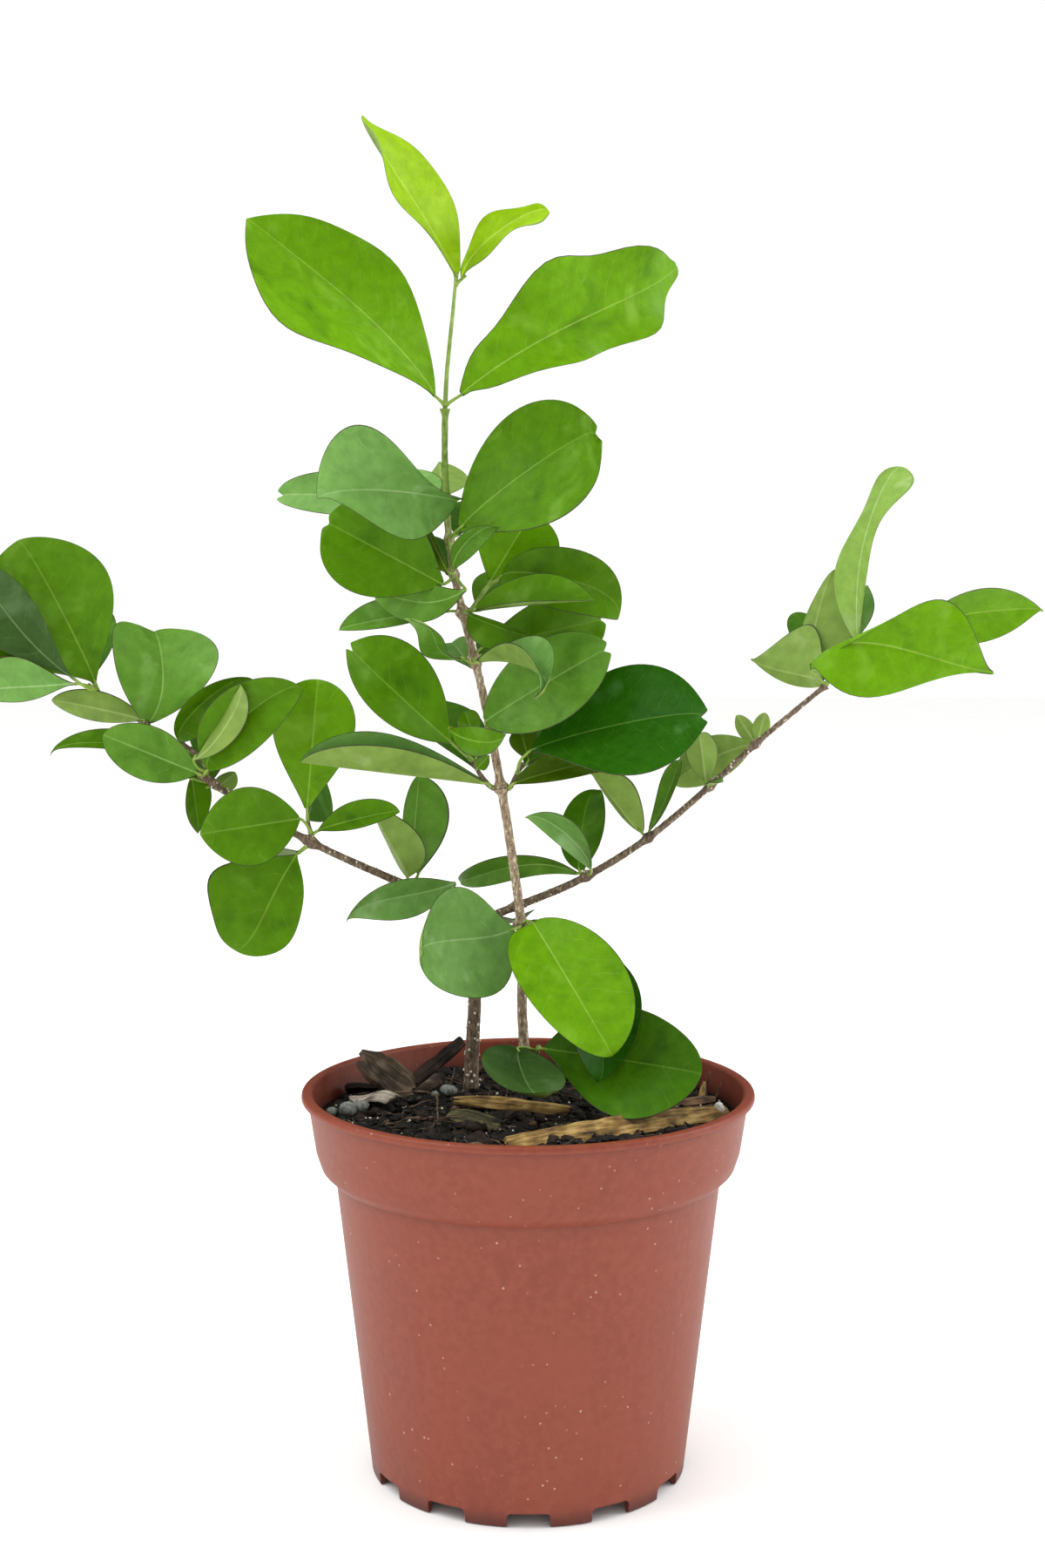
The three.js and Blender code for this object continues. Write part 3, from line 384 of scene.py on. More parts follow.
def buildCrumbs():
    spots = []
    for _ in range(mix["crumbs"]):
        size = chance.uniform(0.8, 2.0)
        x, y, z = onSoil(mix["radius"] - 1.4 * size - 0.3)
        flat = (size * chance.uniform(0.8, 1.5), size, size * chance.uniform(0.5, 0.9))
        spots.append(((x, y, z + 0.2 * size), flat, chance.choice((0, 0, 0, 1, 1, 2))))
    brown = [peat("peat crumb", "#0a0604", "#1c130b", 0.75, 1),
             peat("bark crumb", "#1a0f07", "#362313", 0.8, 1),
             peat("wet crumb", "#050302", "#120c07", 0.35, 1)]
    lumps("soil_crumbs", spots, brown, 2)
    spots = []
    for _ in range(mix["grains"]):
        size = chance.uniform(0.3, 0.75)
        x, y, z = onSoil(mix["radius"] - 1.2)
        z += 0.4 * size + chance.choice((0, 0, 0.5))
        spots.append(((x, y, z), (size, size, 0.8 * size), chance.choice((0, 0, 1, 1, 2))))
    lumps("soil_grains", spots, brown, 1)
    print("crumbs and grains:", mix["crumbs"] + mix["grains"])


def buildPerlite():
    # Expanded perlite and pumice: dull white to grey, full of pores
    skins = [grainySkin("grey perlite", 0.9, [(0.3, "#4a4c47"), (0.6, "#7f837c")], 0.85, 5, (0.5, 0.4)),
             grainySkin("white perlite", 0.6, [(0.3, "#a5a297"), (0.6, "#d9d7cd")], 0.8, 3)]
    grey, white = range(2)
    spots = [((-47.5, -4.5, 98.2), (2.6, 2.2, 2), grey), ((-44.6, -2.8, 98.6), (2.2, 1.8, 1.8), grey),
             ((-21.5, 12, 99.2), (2.3, 1.8, 1.5), grey), ((-25.2, 10.6, 98.4), (1.1, 1, 0.9), grey),
             ((50.2, -6.4, 98.3), (1.6, 1.2, 2), white), ((51.4, -4.6, 97.4), (1.3, 1, 1.4), white),
             ((-52, -4, 97.4), (1.6, 1.4, 1.2), grey), ((14, 40, 98), (2, 1.8, 1.4), grey),
             ((-6, 46, 97.6), (1.6, 1.3, 1.2), white)]
    # tiny white specks: partly perlite crumbs, partly painted glints that stand in for light caught on the
    # wet mix
    for _ in range(mix["perlite"]):
        place = onSoil(mix["radius"] - 1.5, 0.7)
        spots.append((place, (chance.uniform(0.18, 0.4),) * 3, white))
    lumps("perlite", spots, skins, 2)


def wood(name, dark, middle, light):
    # Pine bark and wood chips: long split grain, dull, dark in the grooves
    skin = newMaterial(name)
    grain = addNode(skin, "UVMap", uv_map="grain").outputs[0]
    long = addNode(skin, "Mapping", {"Vector": grain, "Scale": (1, 9, 1)}).outputs[0]
    lines = clouds(skin, long, 8, 8, Distortion=0.6)
    both = calc(skin, "MULTIPLY", calc(skin, "ADD", lines, clouds(skin, grain, 6)), 0.5)
    return coat(skin, {"Base Color": ramp(skin, both, (0.37, dark), (0.5, middle), (0.62, light)),
                       "Normal": relief(skin, lines, 0.7, 0.6), "Roughness": 0.82})


# A chip's middle, its heading, tilt and roll in degrees, its size in mm, its wood and how far it curls
def chip(at, turns, size, kind, curl):
    return {"at": at, "turns": turns, "size": size, "wood": kind, "curl": curl}


chips = [
    chip((24, -21.6, 98), (28, 1, 42), (65, 6.4, 1.6), 0, 0.6),
    chip((-4.5, -3.6, 99.2), (-15, 0, 58), (31, 3.4, 1), 0, 1.5),
    chip((-38, 13, 103.8), (0, -35, 48), (17, 9, 2.4), 1, 0.5),
    chip((-29, 20, 99.5), (-20, 12, 40), (11, 6, 1.4), 1, 0.4),
    chip((-26.4, 15, 105.2), (-8, 40, 66), (23, 3.6, 1.1), 2, 0.2),
    chip((-42, 4, 99.6), (-42, 0, 20), (17, 5, 0.5), 5, 1.8),
    chip((-10, 41, 101), (-10, 28, 40), (13, 4, 1.2), 3, 0.4),
    chip((-14.5, -14, 98.2), (-38, 3, 35), (17, 4.5, 1.2), 4, 1),
    chip((-5.5, -10, 98.5), (-80, 18, 30), (12, 3, 1), 2, 0.5),
    chip((-43, 24, 99), (30, 8, -24), (15, 7, 1.3), 2, 1.2),
    chip((38, 20, 98.5), (50, -8, 20), (18, 6, 1.5), 1, 0.5),
    chip((8, 34, 98), (10, 6, -15), (20, 6, 1.5), 3, 0.6),
    chip((47, 8, 99.3), (80, 30, 10), (9, 1.6, 0.8), 0, 0.3),
    chip((44, 4, 98), (20, 5, 40), (14, 2.6, 0.9), 3, 0.6),
]


def looseChip():
    at = onSoil(46, 0.4)
    turns = (chance.uniform(0, 180), chance.uniform(-9, 9), chance.uniform(-30, 30))
    kind = chance.choice((1, 2, 2, 3, 4))
    size = (chance.uniform(4, 10), chance.uniform(1.4, 3.6), chance.uniform(0.5, 1))
    return chip(at, turns, size, kind, chance.uniform(0, 0.8))


# Cuts one chip out of a grid: ragged at its ends, tapering, bowed, and rough along its grain
def carve(bm, grain, index, one):
    length, width, thickness = one["size"]
    rows = max(6, round(length / 1.2))
    plank = bmesh.ops.create_grid(bm, x_segments=rows, y_segments=6, size=0.5)["verts"]
    faces = list(dict.fromkeys(face for vert in plank for face in vert.link_faces))
    for face in faces:
        face.material_index = one["wood"]
        for loop in face.loops:
            loop[grain].uv = (loop.vert.co.x * length * mm + 0.1 * index, loop.vert.co.y * width * mm)
    for vert in plank:
        along, across = vert.co.x * 2, vert.co.y * 2
        ragged = noise.noise(Vector((across * 3, index * 3.7, along))) * (0.16 * width / length + 0.05)
        taper = 1 - 0.55 * abs(along) ** 3 * (0.6 + 0.4 * math.sin(index * 2 + along * 2))
        edge = 1 + 0.22 * noise.noise(Vector((along * length / 9, across, index * 5.3)))
        bow = one["curl"] * (math.cos(along * 2 + index) - 0.4 * across * across)
        rough = 0.35 * noise.noise(Vector((along * length / 8, across * width / 1.6, index)))
        vert.co = Vector((length * (along / 2 + ragged * abs(along) ** 2), width / 2 * across * taper * edge,
                          bow + rough * min(1, thickness)))
    backing = bmesh.ops.solidify(bm, geom=faces, thickness=thickness)["geom"]
    body = dict.fromkeys([*plank, *(vert for vert in backing if isinstance(vert, bmesh.types.BMVert))])
    turn = turnOf(*one["turns"]).to_4x4()
    matrix = Matrix.Diagonal((mm, mm, mm, 1)) @ Matrix.Translation(one["at"]) @ turn
    bmesh.ops.transform(bm, matrix=matrix, verts=list(body))


def buildChips():
    loose = [looseChip() for _ in range(mix["looseChips"])]
    bm = bmesh.new()
    grain = bm.loops.layers.uv.new("grain")
    for index, one in enumerate(chips + loose):
        carve(bm, grain, index, one)
    limit = mix["chipReach"] * mm
    for vert in bm.verts:  # no chip reaches into the wall of the pot
        reach = math.hypot(vert.co.x, vert.co.y)
        if reach > limit and vert.co.z < pot["height"] * mm:
            vert.co.x, vert.co.y = vert.co.x * limit / reach, vert.co.y * limit / reach
    bmesh.ops.recalc_face_normals(bm, faces=bm.faces)
    woods = [wood("yellow pine chip", "#33220f", "#83652f", "#b7985a"),
             wood("weathered bark", "#1d1712", "#4c3c2e", "#806c57"),
             wood("dark bark", "#0c0806", "#2a1a12", "#4a3426"),
             wood("brown bark", "#241710", "#5f432c", "#8d6a48"),
             wood("mossy bark", "#15140a", "#3e3a1e", "#6d6638"),
             wood("dry leaf", "#4a4038", "#9a8f80", "#c4bbab")]
    finishPiece(meshOf(bm, "bark_chips"), "bark_chips", woods, math.radians(50))
    print("chips:", len(chips + loose))


def looseFibre():  # a bent root that lies on the mix or lifts off it at one end
    x, y, z = onSoil(48, 0.8)
    heading, length = chance.uniform(0, 6.28), chance.uniform(4, 15)
    bend, lift = chance.uniform(-0.9, 0.9), chance.uniform(-0.05, 0.22)
    points = []
    for step in range(7):
        share = step / 6 - 0.5
        angle = heading + bend * share
        px, py = x + length * share * math.cos(angle), y + length * share * math.sin(angle)
        if math.hypot(px, py) < mix["fibreReach"]:
            points.append((px, py, soilHeight(px, py) + 0.6 + lift * length * (share + 0.5)))
    return points


def buildFibres():
    paths = []
    for _ in range(mix["fibres"]):
        points = looseFibre()
        if len(points) > 3:
            thick = chance.uniform(0.1, 0.3)
            paths.append((points, np.linspace(thick, 0.5 * thick, len(points))))
    stalk = [(-41, 8, 99.5), (-34, 7, 99.8), (-28, 6, 100.2), (-24.6, 2, 100), (-24, -6, 98.8),
             (-23.4, -13, 97.2)]
    path = smoothPath(stalk, 1)[0]
    paths.append((path, np.linspace(0.35, 0.22, len(path))))
    for x, y, top, lean in ((48.5, 16, 103.5, 0.6), (46.5, 19, 102, -0.8), (50.5, 11, 101.4, 0.9),
                            (44, 21, 101, 0.3)):
        path = smoothPath([(x, y, 96), (x + lean, y, (top + 96) / 2), (x + 2 * lean, y, top)], 1)[0]
        paths.append((path, np.linspace(0.4, 0.15, len(path))))
    # Dead roots and leaf stalks: thin, dull, straw to brown
    root = peat("dry root", "#2e2115", "#7a6048", 0.8, 2)
    finishPiece(tubes("root_fibres", paths, 1), "root_fibres", [root])
    print("fibres:", len(paths))


buildSoil()
buildCrumbs()
buildPerlite()
buildChips()
buildFibres()


# Stems and boughs as in the solids: the points of each, its radius at root and tip, and how far it flares
def limb(points, root, tip, flare):
    return {"points": points, "root": root, "tip": tip, "flare": flare}


mainStem = limb([(0, 14, 94), (0, 14, 97), (0, 14, 100), (-1.5, 13.8, 118), (-1.8, 13.5, 143.5),
                 (-4.5, 12.5, 164.5), (-7, 12, 180.5), (-12.1, 11, 207.3), (-17.2, 10, 228.3),
                 (-20.3, 10, 243), (-21.8, 9, 266), (-21.7, 8, 281.6)], 1.45, 0.8, 0.5)
secondStem = limb([(-15.7, 22, 94), (-15.7, 22, 97), (-15.7, 22, 100), (-15.2, 21.8, 110), (-14.5, 21, 124),
                   (-13.4, 20, 144.2)], 2, 1.6, 0.6)
rightBough = limb([(-13.4, 20, 143), (-12.1, 20, 144.6), (-6, 20, 147.2), (13.6, 18, 155.7),
                   (31.4, 15, 167.1), (47.9, 12, 181.5), (60.8, 10, 193.9), (77.5, 8, 208.4),
                   (78.6, 7.8, 209.4)], 1.15, 0.65, 0.2)
leftBough = limb([(-13.6, 20, 142.6), (-14.6, 19.7, 144.25), (-20.5, 18, 149.4), (-35.6, 15, 156.1),
                  (-57.1, 10, 166.8), (-71, 8, 175.2), (-84, 6, 184), (-99.7, 5, 198.2),
                  (-101.2, 4.8, 199.6)], 1.15, 0.75, 0.2)
limbs = (mainStem, secondStem, rightBough, leftBough)
bark = {
    "spacing": 0.55, "swelling": 0.6, "swellReach": 1.3, "jointReach": 6, "relief": 0.11, "flareReach": 4,
    "poresPerMm": 0.9, "poresPerMmThick": 1.2, "greenFrom": 234, "greenTo": 258,
}
regions = {"crown": {}, "low": {}, "right": {}, "left": {}}


# A foliage mass as in the solids: the foot of its shoot, then its twig and leaves, placed from the foot
def mass(region, node, foot, twig, *leaves):
    regions[region][node] = {"foot": foot, "twig": twig, "leaves": leaves}


# A leaf's tint, place, heading, rise and roll in degrees, length and width in mm, and its form
def leaf(tint, at, turns, size, **form):
    return {"tint": tint, "at": at, "turns": turns, "length": size[0], "width": size[1], **form}


mass("crown", "foliage_top", (-21.7, 8, 281.8),
     [(0.5, -0.5, 8.5), (1.2, -1, 15.5), (2.4, -2, 26.5), (3.1, -3, 33.5)],
     leaf("lime", (3.2, -3, 33.4), (-159, 57, -44), (46, 30), widest=0.63, foot=1.7, tip=2.1, skew=0.07,
          lean=0.09, lobes=-0.16, fold=14, cup=6, twist=31, bend=0.08, sway=-0.03, wave=0.04, waves=1.9,
          arch=0.03),
     leaf("lime", (4.5, -3, 32.6), (-18, 34, 59), (28.5, 12.5), foot=1.3, tip=0.8, skew=-0.04, lean=-0.29,
          lobes=-0.4, twist=14, bend=0.17, sway=0.02, waves=1.7, arch=0.02),
     leaf("bright", (-2.7, -1, 3.1), (-161, 41, -60), (65, 48.5), widest=0.6, foot=1.9, tip=1.8, skew=0.05,
          lean=0.32, lobes=0.05, twist=-13, bend=-0.03, sway=-0.02, waves=2.4, arch=0.02),
     leaf("bright", (4.5, 0, 3.5), (33, 29, 82), (78.5, 28.5), widest=0.58, foot=1.4, tip=1.8, lean=0.17,
          lobes=0.1, fold=8, twist=81, sway=0.02, wave=0.08, waves=3.1))
mass("crown", "foliage_crown_left", (-22.5, 8.5, 258.6), [],
     leaf("misty", (4.2, -5.5, -0.7), (-151, 0, -89), (39.5, 29.5), widest=0.72, foot=0.9, tip=0.9,
          skew=-0.15, lean=-0.13, fold=14, twist=133, bend=-0.05, arch=0.18),
     leaf("misty", (-0.5, 0.5, -1.6), (171, 3, -71), (44.5, 13), notch=0.05),
     leaf("pale", (-1, 3.4, 0.3), (92, 24, 159), (24, 15), widest=0.6),
     leaf("misty", (-2, 3, -0.4), (126, 8, 0), (36, 22)))
mass("crown", "foliage_crown_right", (-19.5, 7.5, 247.8), [],
     leaf("fresh", (1.7, -1.5, 2.8), (-25, 31, 65), (47, 41), foot=1.4, tip=1.2, skew=-0.07, lean=-0.2,
          notch=0.06, fold=6, twist=7, bend=0.16, arch=-0.11),
     leaf("soft", (0, -5.5, -8), (-34, 37, 133), (18, 8), widest=0.6, fold=30, bend=0.2),
     leaf("mid", (0.8, 3.5, 1), (66, 8, 0), (38.5, 24)))
mass("crown", "foliage_crown_low_left", (-20.8, 9, 238), [],
     leaf("fresh", (-1.7, -3, -2), (-173, 28, -88), (35, 27), widest=0.62, notch=0.05, fold=6),
     leaf("olive", (0.2, -5, 1), (134, 57, -87), (15.5, 8), fold=30),
     leaf("soft", (4.5, -6.6, -3.5), (153, -4, -77), (27.5, 17), widest=0.61, foot=1.7, tip=1.3, skew=-0.14,
          lean=-0.17, fold=10, twist=-44, bend=0.07, sway=0.06, arch=0.1),
     leaf("mid", (0, 2, 0.4), (127, 12, 0), (36, 22)))
mass("crown", "foliage_upper_left", (-19.2, 10, 228.3), [],
     leaf("soft", (-2.1, 3, 0.4), (172, -10, -55), (30, 11), tip=1.7, fold=22))
mass("crown", "foliage_upper_right", (-15.7, 9, 228.6), [(5.3, 0.5, 6.9), (9.2, 0, 9.2)],
     leaf("bright", (5.7, 3, 8.2), (36, 53, 60), (22.5, 25), widest=0.6),
     leaf("fresh", (8.6, -1, 9.5), (-10, -19, 78), (33, 17.5), widest=0.52, foot=0.8, tip=0.9, lean=-0.05,
          fold=10, bend=0.14, sway=-0.02, arch=0.09),
     leaf("fresh", (2, -7, 0.6), (-20, 5, 38), (32.5, 14.5), widest=0.52, foot=1.3, tip=1.6, lean=0.1,
          fold=35, arch=0.02),
     leaf("fresh", (0, -4.2, 0), (-25, -17, 123), (20.5, 13), widest=0.42, tip=1.7, fold=30),
     leaf("fresh", (2.2, 3, 2), (56, 8, 0), (39, 22)))
mass("crown", "foliage_stem_left", (-15.8, 11, 214.7), [],
     leaf("soft", (-0.8, -5, 1.6), (-142, 32, -172), (22, 10.5), widest=0.61, foot=2.5, tip=0.7, lean=0.08,
          notch=0.08, fold=10, twist=-17, bend=-0.14, sway=0.16, arch=0.1),
     leaf("misty", (0.6, 3, -0.9), (115, 24, -24), (14.5, 9)))
mass("crown", "foliage_stem_right", (-12.8, 10, 216.8), [],
     leaf("fresh", (0.5, -1, 2.4), (5, 13, 86), (34, 19), widest=0.62, notch=0.05),
     leaf("misty", (-0.6, -9.6, -0.8), (-63, -13, 10), (33.5, 17), widest=0.55, tip=1.6, fold=55, bend=0.22),
     leaf("mid", (0.2, 3, 0.3), (58, -2, 0), (39, 22)))
mass("crown", "foliage_middle_right", (-9.1, 9, 197.5), [],
     leaf("soft", (-2.2, -0.7, 2.3), (-21, 30, 78), (40.5, 24), foot=1.2, tip=1.1, lean=-0.11, notch=0.06,
          fold=10, twist=-7, arch=0.04),
     leaf("mid", (2.6, 4, 0.5), (55, 9, 0), (40.5, 24)))
mass("crown", "foliage_low_left", (-9.2, 11, 181.7), [(-2.5, -1, 2.2), (-4.8, -2, 6), (-7.3, -4, 10.4)],
     leaf("fresh", (-11.2, -7, 12.9), (-163, 43, -58), (38, 25.5), widest=0.58, foot=1.6, tip=1.4,
          lean=-0.05, notch=0.07, fold=6, bend=0.02, arch=0.01),
     leaf("misty", (-2, -5, 1.9), (-164, 8, -26), (50, 20), widest=0.62, foot=1.7, tip=1.3, fold=62, cup=10,
          arch=0),
     leaf("fresh", (-11.4, -13, 17.2), (-39, -2, 82), (19, 8), widest=0.6, fold=6, bend=-0.14),
     leaf("fresh", (-4.9, 3, 13), (126, 54, -38), (8.5, 7), fold=14),
     leaf("fresh", (-4.2, -8, 6.2), (-65, 27, 128), (8.5, 4)),
     leaf("mid", (-4.4, 2, 4.7), (122, 19, 0), (43.5, 24)))
mass("crown", "foliage_low_right", (-5, 11, 181.7), [(1.6, -0.5, 3.1), (3.5, -1, 6.9)],
     leaf("deep", (5.9, -9, 11), (-18, 12, 51), (49, 38), widest=0.61, foot=1.6, tip=1.4, skew=-0.05,
          lean=-0.16, notch=0.06, fold=8, twist=10, bend=0.05, arch=0.01),
     leaf("olive", (1.2, -3, 1.5), (4, 13, 53), (31, 13), tip=1.4, fold=24),
     leaf("olive", (5.1, 1, 7.6), (118, 59, -30), (9, 8), widest=0.6),
     leaf("mid", (4.4, 1, 6.2), (52, 4, 0), (45.5, 24)))
mass("low", "foliage_basal", (-1.3, 10.6, 144.4), [],
     leaf("misty", (-2.6, -4, -0.1), (-133, -3, -80), (35.5, 31.5), widest=0.38, tip=1.3, skew=-0.05,
          lean=0.06, notch=0.06, fold=8, twist=-39, sway=0.03, arch=-0.22),
     leaf("bright", (2.6, -5.5, 1.8), (-47, -46, 41), (43, 27), widest=0.47, foot=1, skew=0.1, lean=0.09,
          fold=6, arch=0.06),
     leaf("deep", (4.5, -3, -0.9), (-54, -55, 17), (44, 24), widest=0.6, foot=1.4, tip=1.2, fold=20,
          bend=0.15, sway=0.04, arch=0.03))
mass("low", "foliage_basal_rear", (-1.5, 16.1, 144.4), [],
     leaf("mid", (-0.2, 3, 0), (115, -20, 0), (35, 24)),
     leaf("fresh", (1.2, 3, 0), (66, -34, 0), (40, 24)))
mass("low", "foliage_ground", (0.7, 11.3, 106.7), [(1.7, -4.7, 4.3), (2.1, -7.7, 6.2)],
     leaf("mid", (3.3, -11.5, 6.7), (-17, -5, 57), (43, 31.5), foot=2, tip=0.9, skew=-0.06, lean=-0.1,
          fold=6, twist=-8, arch=0.02),
     leaf("slate", (-3.5, -16.7, 7.9), (-70, -15, -5), (24.5, 23.5), widest=0.46, foot=1.1, tip=0.8,
          skew=0.05, lean=-0.15, twist=20, bend=-0.04, sway=0.02, arch=-0.16))
mass("right", "foliage_right_first", (15, 16, 158.1), [],
     leaf("soft", (-1.7, 3.5, -0.6), (151, -8, -122), (37, 11.5), widest=0.53, foot=1.1, tip=1.4, skew=0.06,
          lean=-0.29, fold=20, bend=-0.16, sway=-0.04, arch=0.09),
     leaf("misty", (1.6, -6, 2.2), (-160, 38, -125), (23.5, 12), widest=0.59, foot=1.2, tip=1.1, skew=-0.07,
          lean=-0.39, fold=28, twist=20, bend=-0.19, arch=0.06),
     leaf("mid", (-1.1, 2, 0.4), (60, 63, 12), (23.5, 13), widest=0.5, foot=1.3, tip=0.9, skew=-0.06,
          lean=-0.1, twist=-7, bend=0.07, sway=-0.02, arch=0.04),
     leaf("mid", (0.1, 4, 0.6), (89, 14, 0), (31, 11)))
mass("right", "foliage_right_second", (31.6, 14, 169), [],
     leaf("fresh", (-1, 1, 0.2), (-167, 48, 37), (22, 10), foot=1.2, tip=2, lean=0.43, twist=-15, sway=-0.03,
          arch=0.03),
     leaf("soft", (1.4, 2.9, 0.9), (25, 63, 20), (20.5, 7), widest=0.6, foot=1.1, skew=0.03, lean=-0.06,
          fold=24, bend=-0.06, sway=-0.02, arch=0.03))
mass("right", "foliage_right_third", (47.6, 10.4, 183), [],
     leaf("soft", (-0.2, -1, 0), (-108, 59, 16), (16.5, 9)),
     leaf("misty", (0, -1.5, -0.5), (-50, 15, 20), (6, 4)))
mass("right", "foliage_right_fourth", (61.1, 11.6, 192.9), [],
     leaf("pale", (-0.6, 1.5, 0.3), (151, -28, 84), (26, 13), widest=0.6, bend=0.08),
     leaf("pale", (0, 1, 1), (50, 63, -144), (8.5, 5)),
     leaf("pale", (-0.6, 1.5, 1), (130, 45, 128), (9.5, 5)))
mass("right", "foliage_right_end", (78.6, 7.8, 209.4), [(3.4, 0.2, 5.2), (8, 0.2, 11.6)],
     leaf("misty", (-1, 2.2, -0.2), (64, 72, -198), (32, 17), widest=0.59, foot=2.1, tip=0.9, skew=-0.04,
          lean=0.25, twist=-17, bend=-0.19, sway=-0.03, arch=0.1),
     leaf("misty", (-0.9, 3.2, 0.2), (142, 15, 91), (22.5, 17), widest=0.44, foot=1.6, tip=2.2, skew=0.1,
          lean=0.64, twist=27, bend=-0.02, sway=0.03, arch=0.12),
     leaf("pale", (8.4, -0.8, 11.3), (-3, 77, 43), (47, 16.5), widest=0.69, foot=0.8, tip=1.1, skew=-0.1,
          lean=-0.32, lobes=0.46, fold=14, twist=49, bend=0.06, sway=0.02, waves=1.2, arch=0.08),
     leaf("misty", (8.4, 2.2, 12), (51, 70, 42), (15, 6.5), widest=0.58, foot=1.8, tip=1.5, skew=-0.03,
          lean=-0.08, bend=0.05, sway=-0.02, arch=0.03),
     leaf("bright", (-4.8, -3.8, 4.5), (-6, -1, 105), (47.5, 28), widest=0.51, foot=1.1, tip=4.8, skew=0.27,
          lean=0.13, fold=16, twist=26, bend=0.13, sway=0.06, wave=0.05, arch=0.03),
     leaf("bright", (18.2, 2.2, 9), (15, 13, 117), (44.5, 18), widest=0.52, foot=1.8, tip=2.2, lean=0.07,
          twist=-29, bend=0.1, sway=0.03, arch=-0.03),
     leaf("fresh", (1.9, 5.2, 0.6), (52, 8, 0), (47.5, 22)),
     leaf("mid", (1.1, 6.2, 1.5), (87, 21, 0), (41, 20)))
mass("left", "foliage_left_low", (-20.4, 16.8, 150.9), [],
     leaf("misty", (0.7, -4, 5), (-161, -17, -103), (31.5, 14.5), widest=0.54, foot=2.1, tip=1.9, lean=-0.15,
          fold=26, twist=-25, bend=-0.1, sway=0.04, arch=0.07))
mass("left", "foliage_left_first", (-31.5, 15, 155.9), [],
     leaf("soft", (1.8, 2, 1.9), (87, 83, 35), (26.5, 14.5), widest=0.55, foot=1.8, tip=1.1, lean=-0.3,
          twist=-18, bend=0.06, sway=0.02, arch=0.03),
     leaf("soft", (-1, -1, 1.2), (-155, 63, 28), (22.5, 18), widest=0.4, foot=1.6, tip=1.7, skew=-0.04,
          lean=-0.15, fold=30, twist=-18, bend=0.03, sway=0.02, arch=-0.01))
mass("left", "foliage_left_fork", (-58, 9.6, 169.2), [(-0.9, 0, 3.6)],
     leaf("bright", (-1, 0.5, 7.2), (34, 84, 61), (34.5, 23), widest=0.68, fold=10),
     leaf("fresh", (2, 0.5, 1.2), (-10, 14, 56), (23, 10), tip=1.2, fold=24),
     leaf("fresh", (-2.7, -3.5, 4.9), (-158, -6, -81), (27, 22), tip=1.4),
     leaf("mid", (-1.4, 4.5, 3.9), (97, 25, 78), (37.5, 22)))
mass("left", "foliage_left_hanging", (-58.3, 9.3, 165.6), [],
     leaf("fresh", (-3.5, -1.3, -1.5), (-158, -54, -78), (30, 27), widest=0.57, foot=2, tip=0.9, skew=-0.03,
          lean=-0.28, lobes=0.05, fold=4, twist=-13, bend=0.05, sway=-0.03, waves=1.9),
     leaf("mid", (-3, 2.7, -1.4), (114, -19, 0), (39.5, 22)))
mass("left", "foliage_left_inner", (-84.6, 4.8, 187), [(-3.5, 1.5, 4.5), (-7.4, 3.8, 7)],
     leaf("soft", (-2.4, -3, -0.3), (-161, 24, -89), (26.5, 15)),
     leaf("fresh", (-8.6, 7, 1.8), (173, 2, -48), (35.5, 8), tip=1.8, fold=22, bend=-0.1),
     leaf("fresh", (-8, 4.6, 7.3), (-6, 40, 125), (26, 15), widest=0.5, tip=1.6, fold=30, bend=0.2),
     leaf("fresh", (-2.6, -7, 3.7), (-31, 53, -90), (25.5, 8), tip=1.4, bend=0.1),
     leaf("fresh", (0.4, -3, 0.5), (-17, 39, 102), (35, 18), widest=0.5, fold=14, bend=0.12),
     leaf("mid", (0.4, 2.5, 0), (81, 14, 0), (35.5, 22)))
mass("left", "foliage_left_under", (-84.4, 5.3, 182), [],
     leaf("fresh", (-4.8, 0.7, 2.6), (189, -96, -127), (14.5, 9.5), widest=0.4, foot=1.4, tip=1.7,
          skew=-0.09, twist=-7, arch=0.03),
     leaf("pale", (1.3, 2.9, -0.4), (39, 34, -134), (7.5, 6)),
     leaf("fresh", (-2, 3.7, -0.2), (108, 11, 0), (35.5, 20)))
mass("left", "foliage_left_end", (-101.2, 4.8, 199.6), [(-7.9, -0.3, 5.5), (-14.3, -1.8, 10.2)],
     leaf("misty", (0.4, -0.8, 1), (-165, 13, 73), (24.5, 9), tip=1.4),
     leaf("soft", (1.1, 0.2, -0.1), (97, 55, 7), (29.5, 30), widest=0.49, foot=1.1, tip=1.3, skew=0.03,
          lobes=0.04, notch=0.1, fold=14, twist=13, bend=-0.1, sway=-0.02, waves=1.5, arch=0.26),
     leaf("fresh", (-12.5, -0.8, 10.9), (-163, 63, -95), (41.5, 40), widest=0.61, foot=2, tip=1.3, lean=0.2,
          twist=-13, bend=-0.03),
     leaf("slate", (-16.4, -6.8, 11.8), (-159, 46, -92), (41.5, 16.5), widest=0.64, foot=2.4, tip=1.3,
          skew=0.04, lean=0.09, sway=0.03),
     leaf("misty", (-15.8, -8.8, 10.9), (-157, -7, -67), (27, 13), widest=0.61, foot=2.5, tip=1.6,
          lean=-0.26, twist=-20, bend=-0.04, sway=0.02),
     leaf("fresh", (0.9, 4.2, 0.6), (89, 17, 0), (34.5, 22)),
     leaf("mid", (-14, 1.2, 11.9), (112, 25, 0), (40.5, 22)))


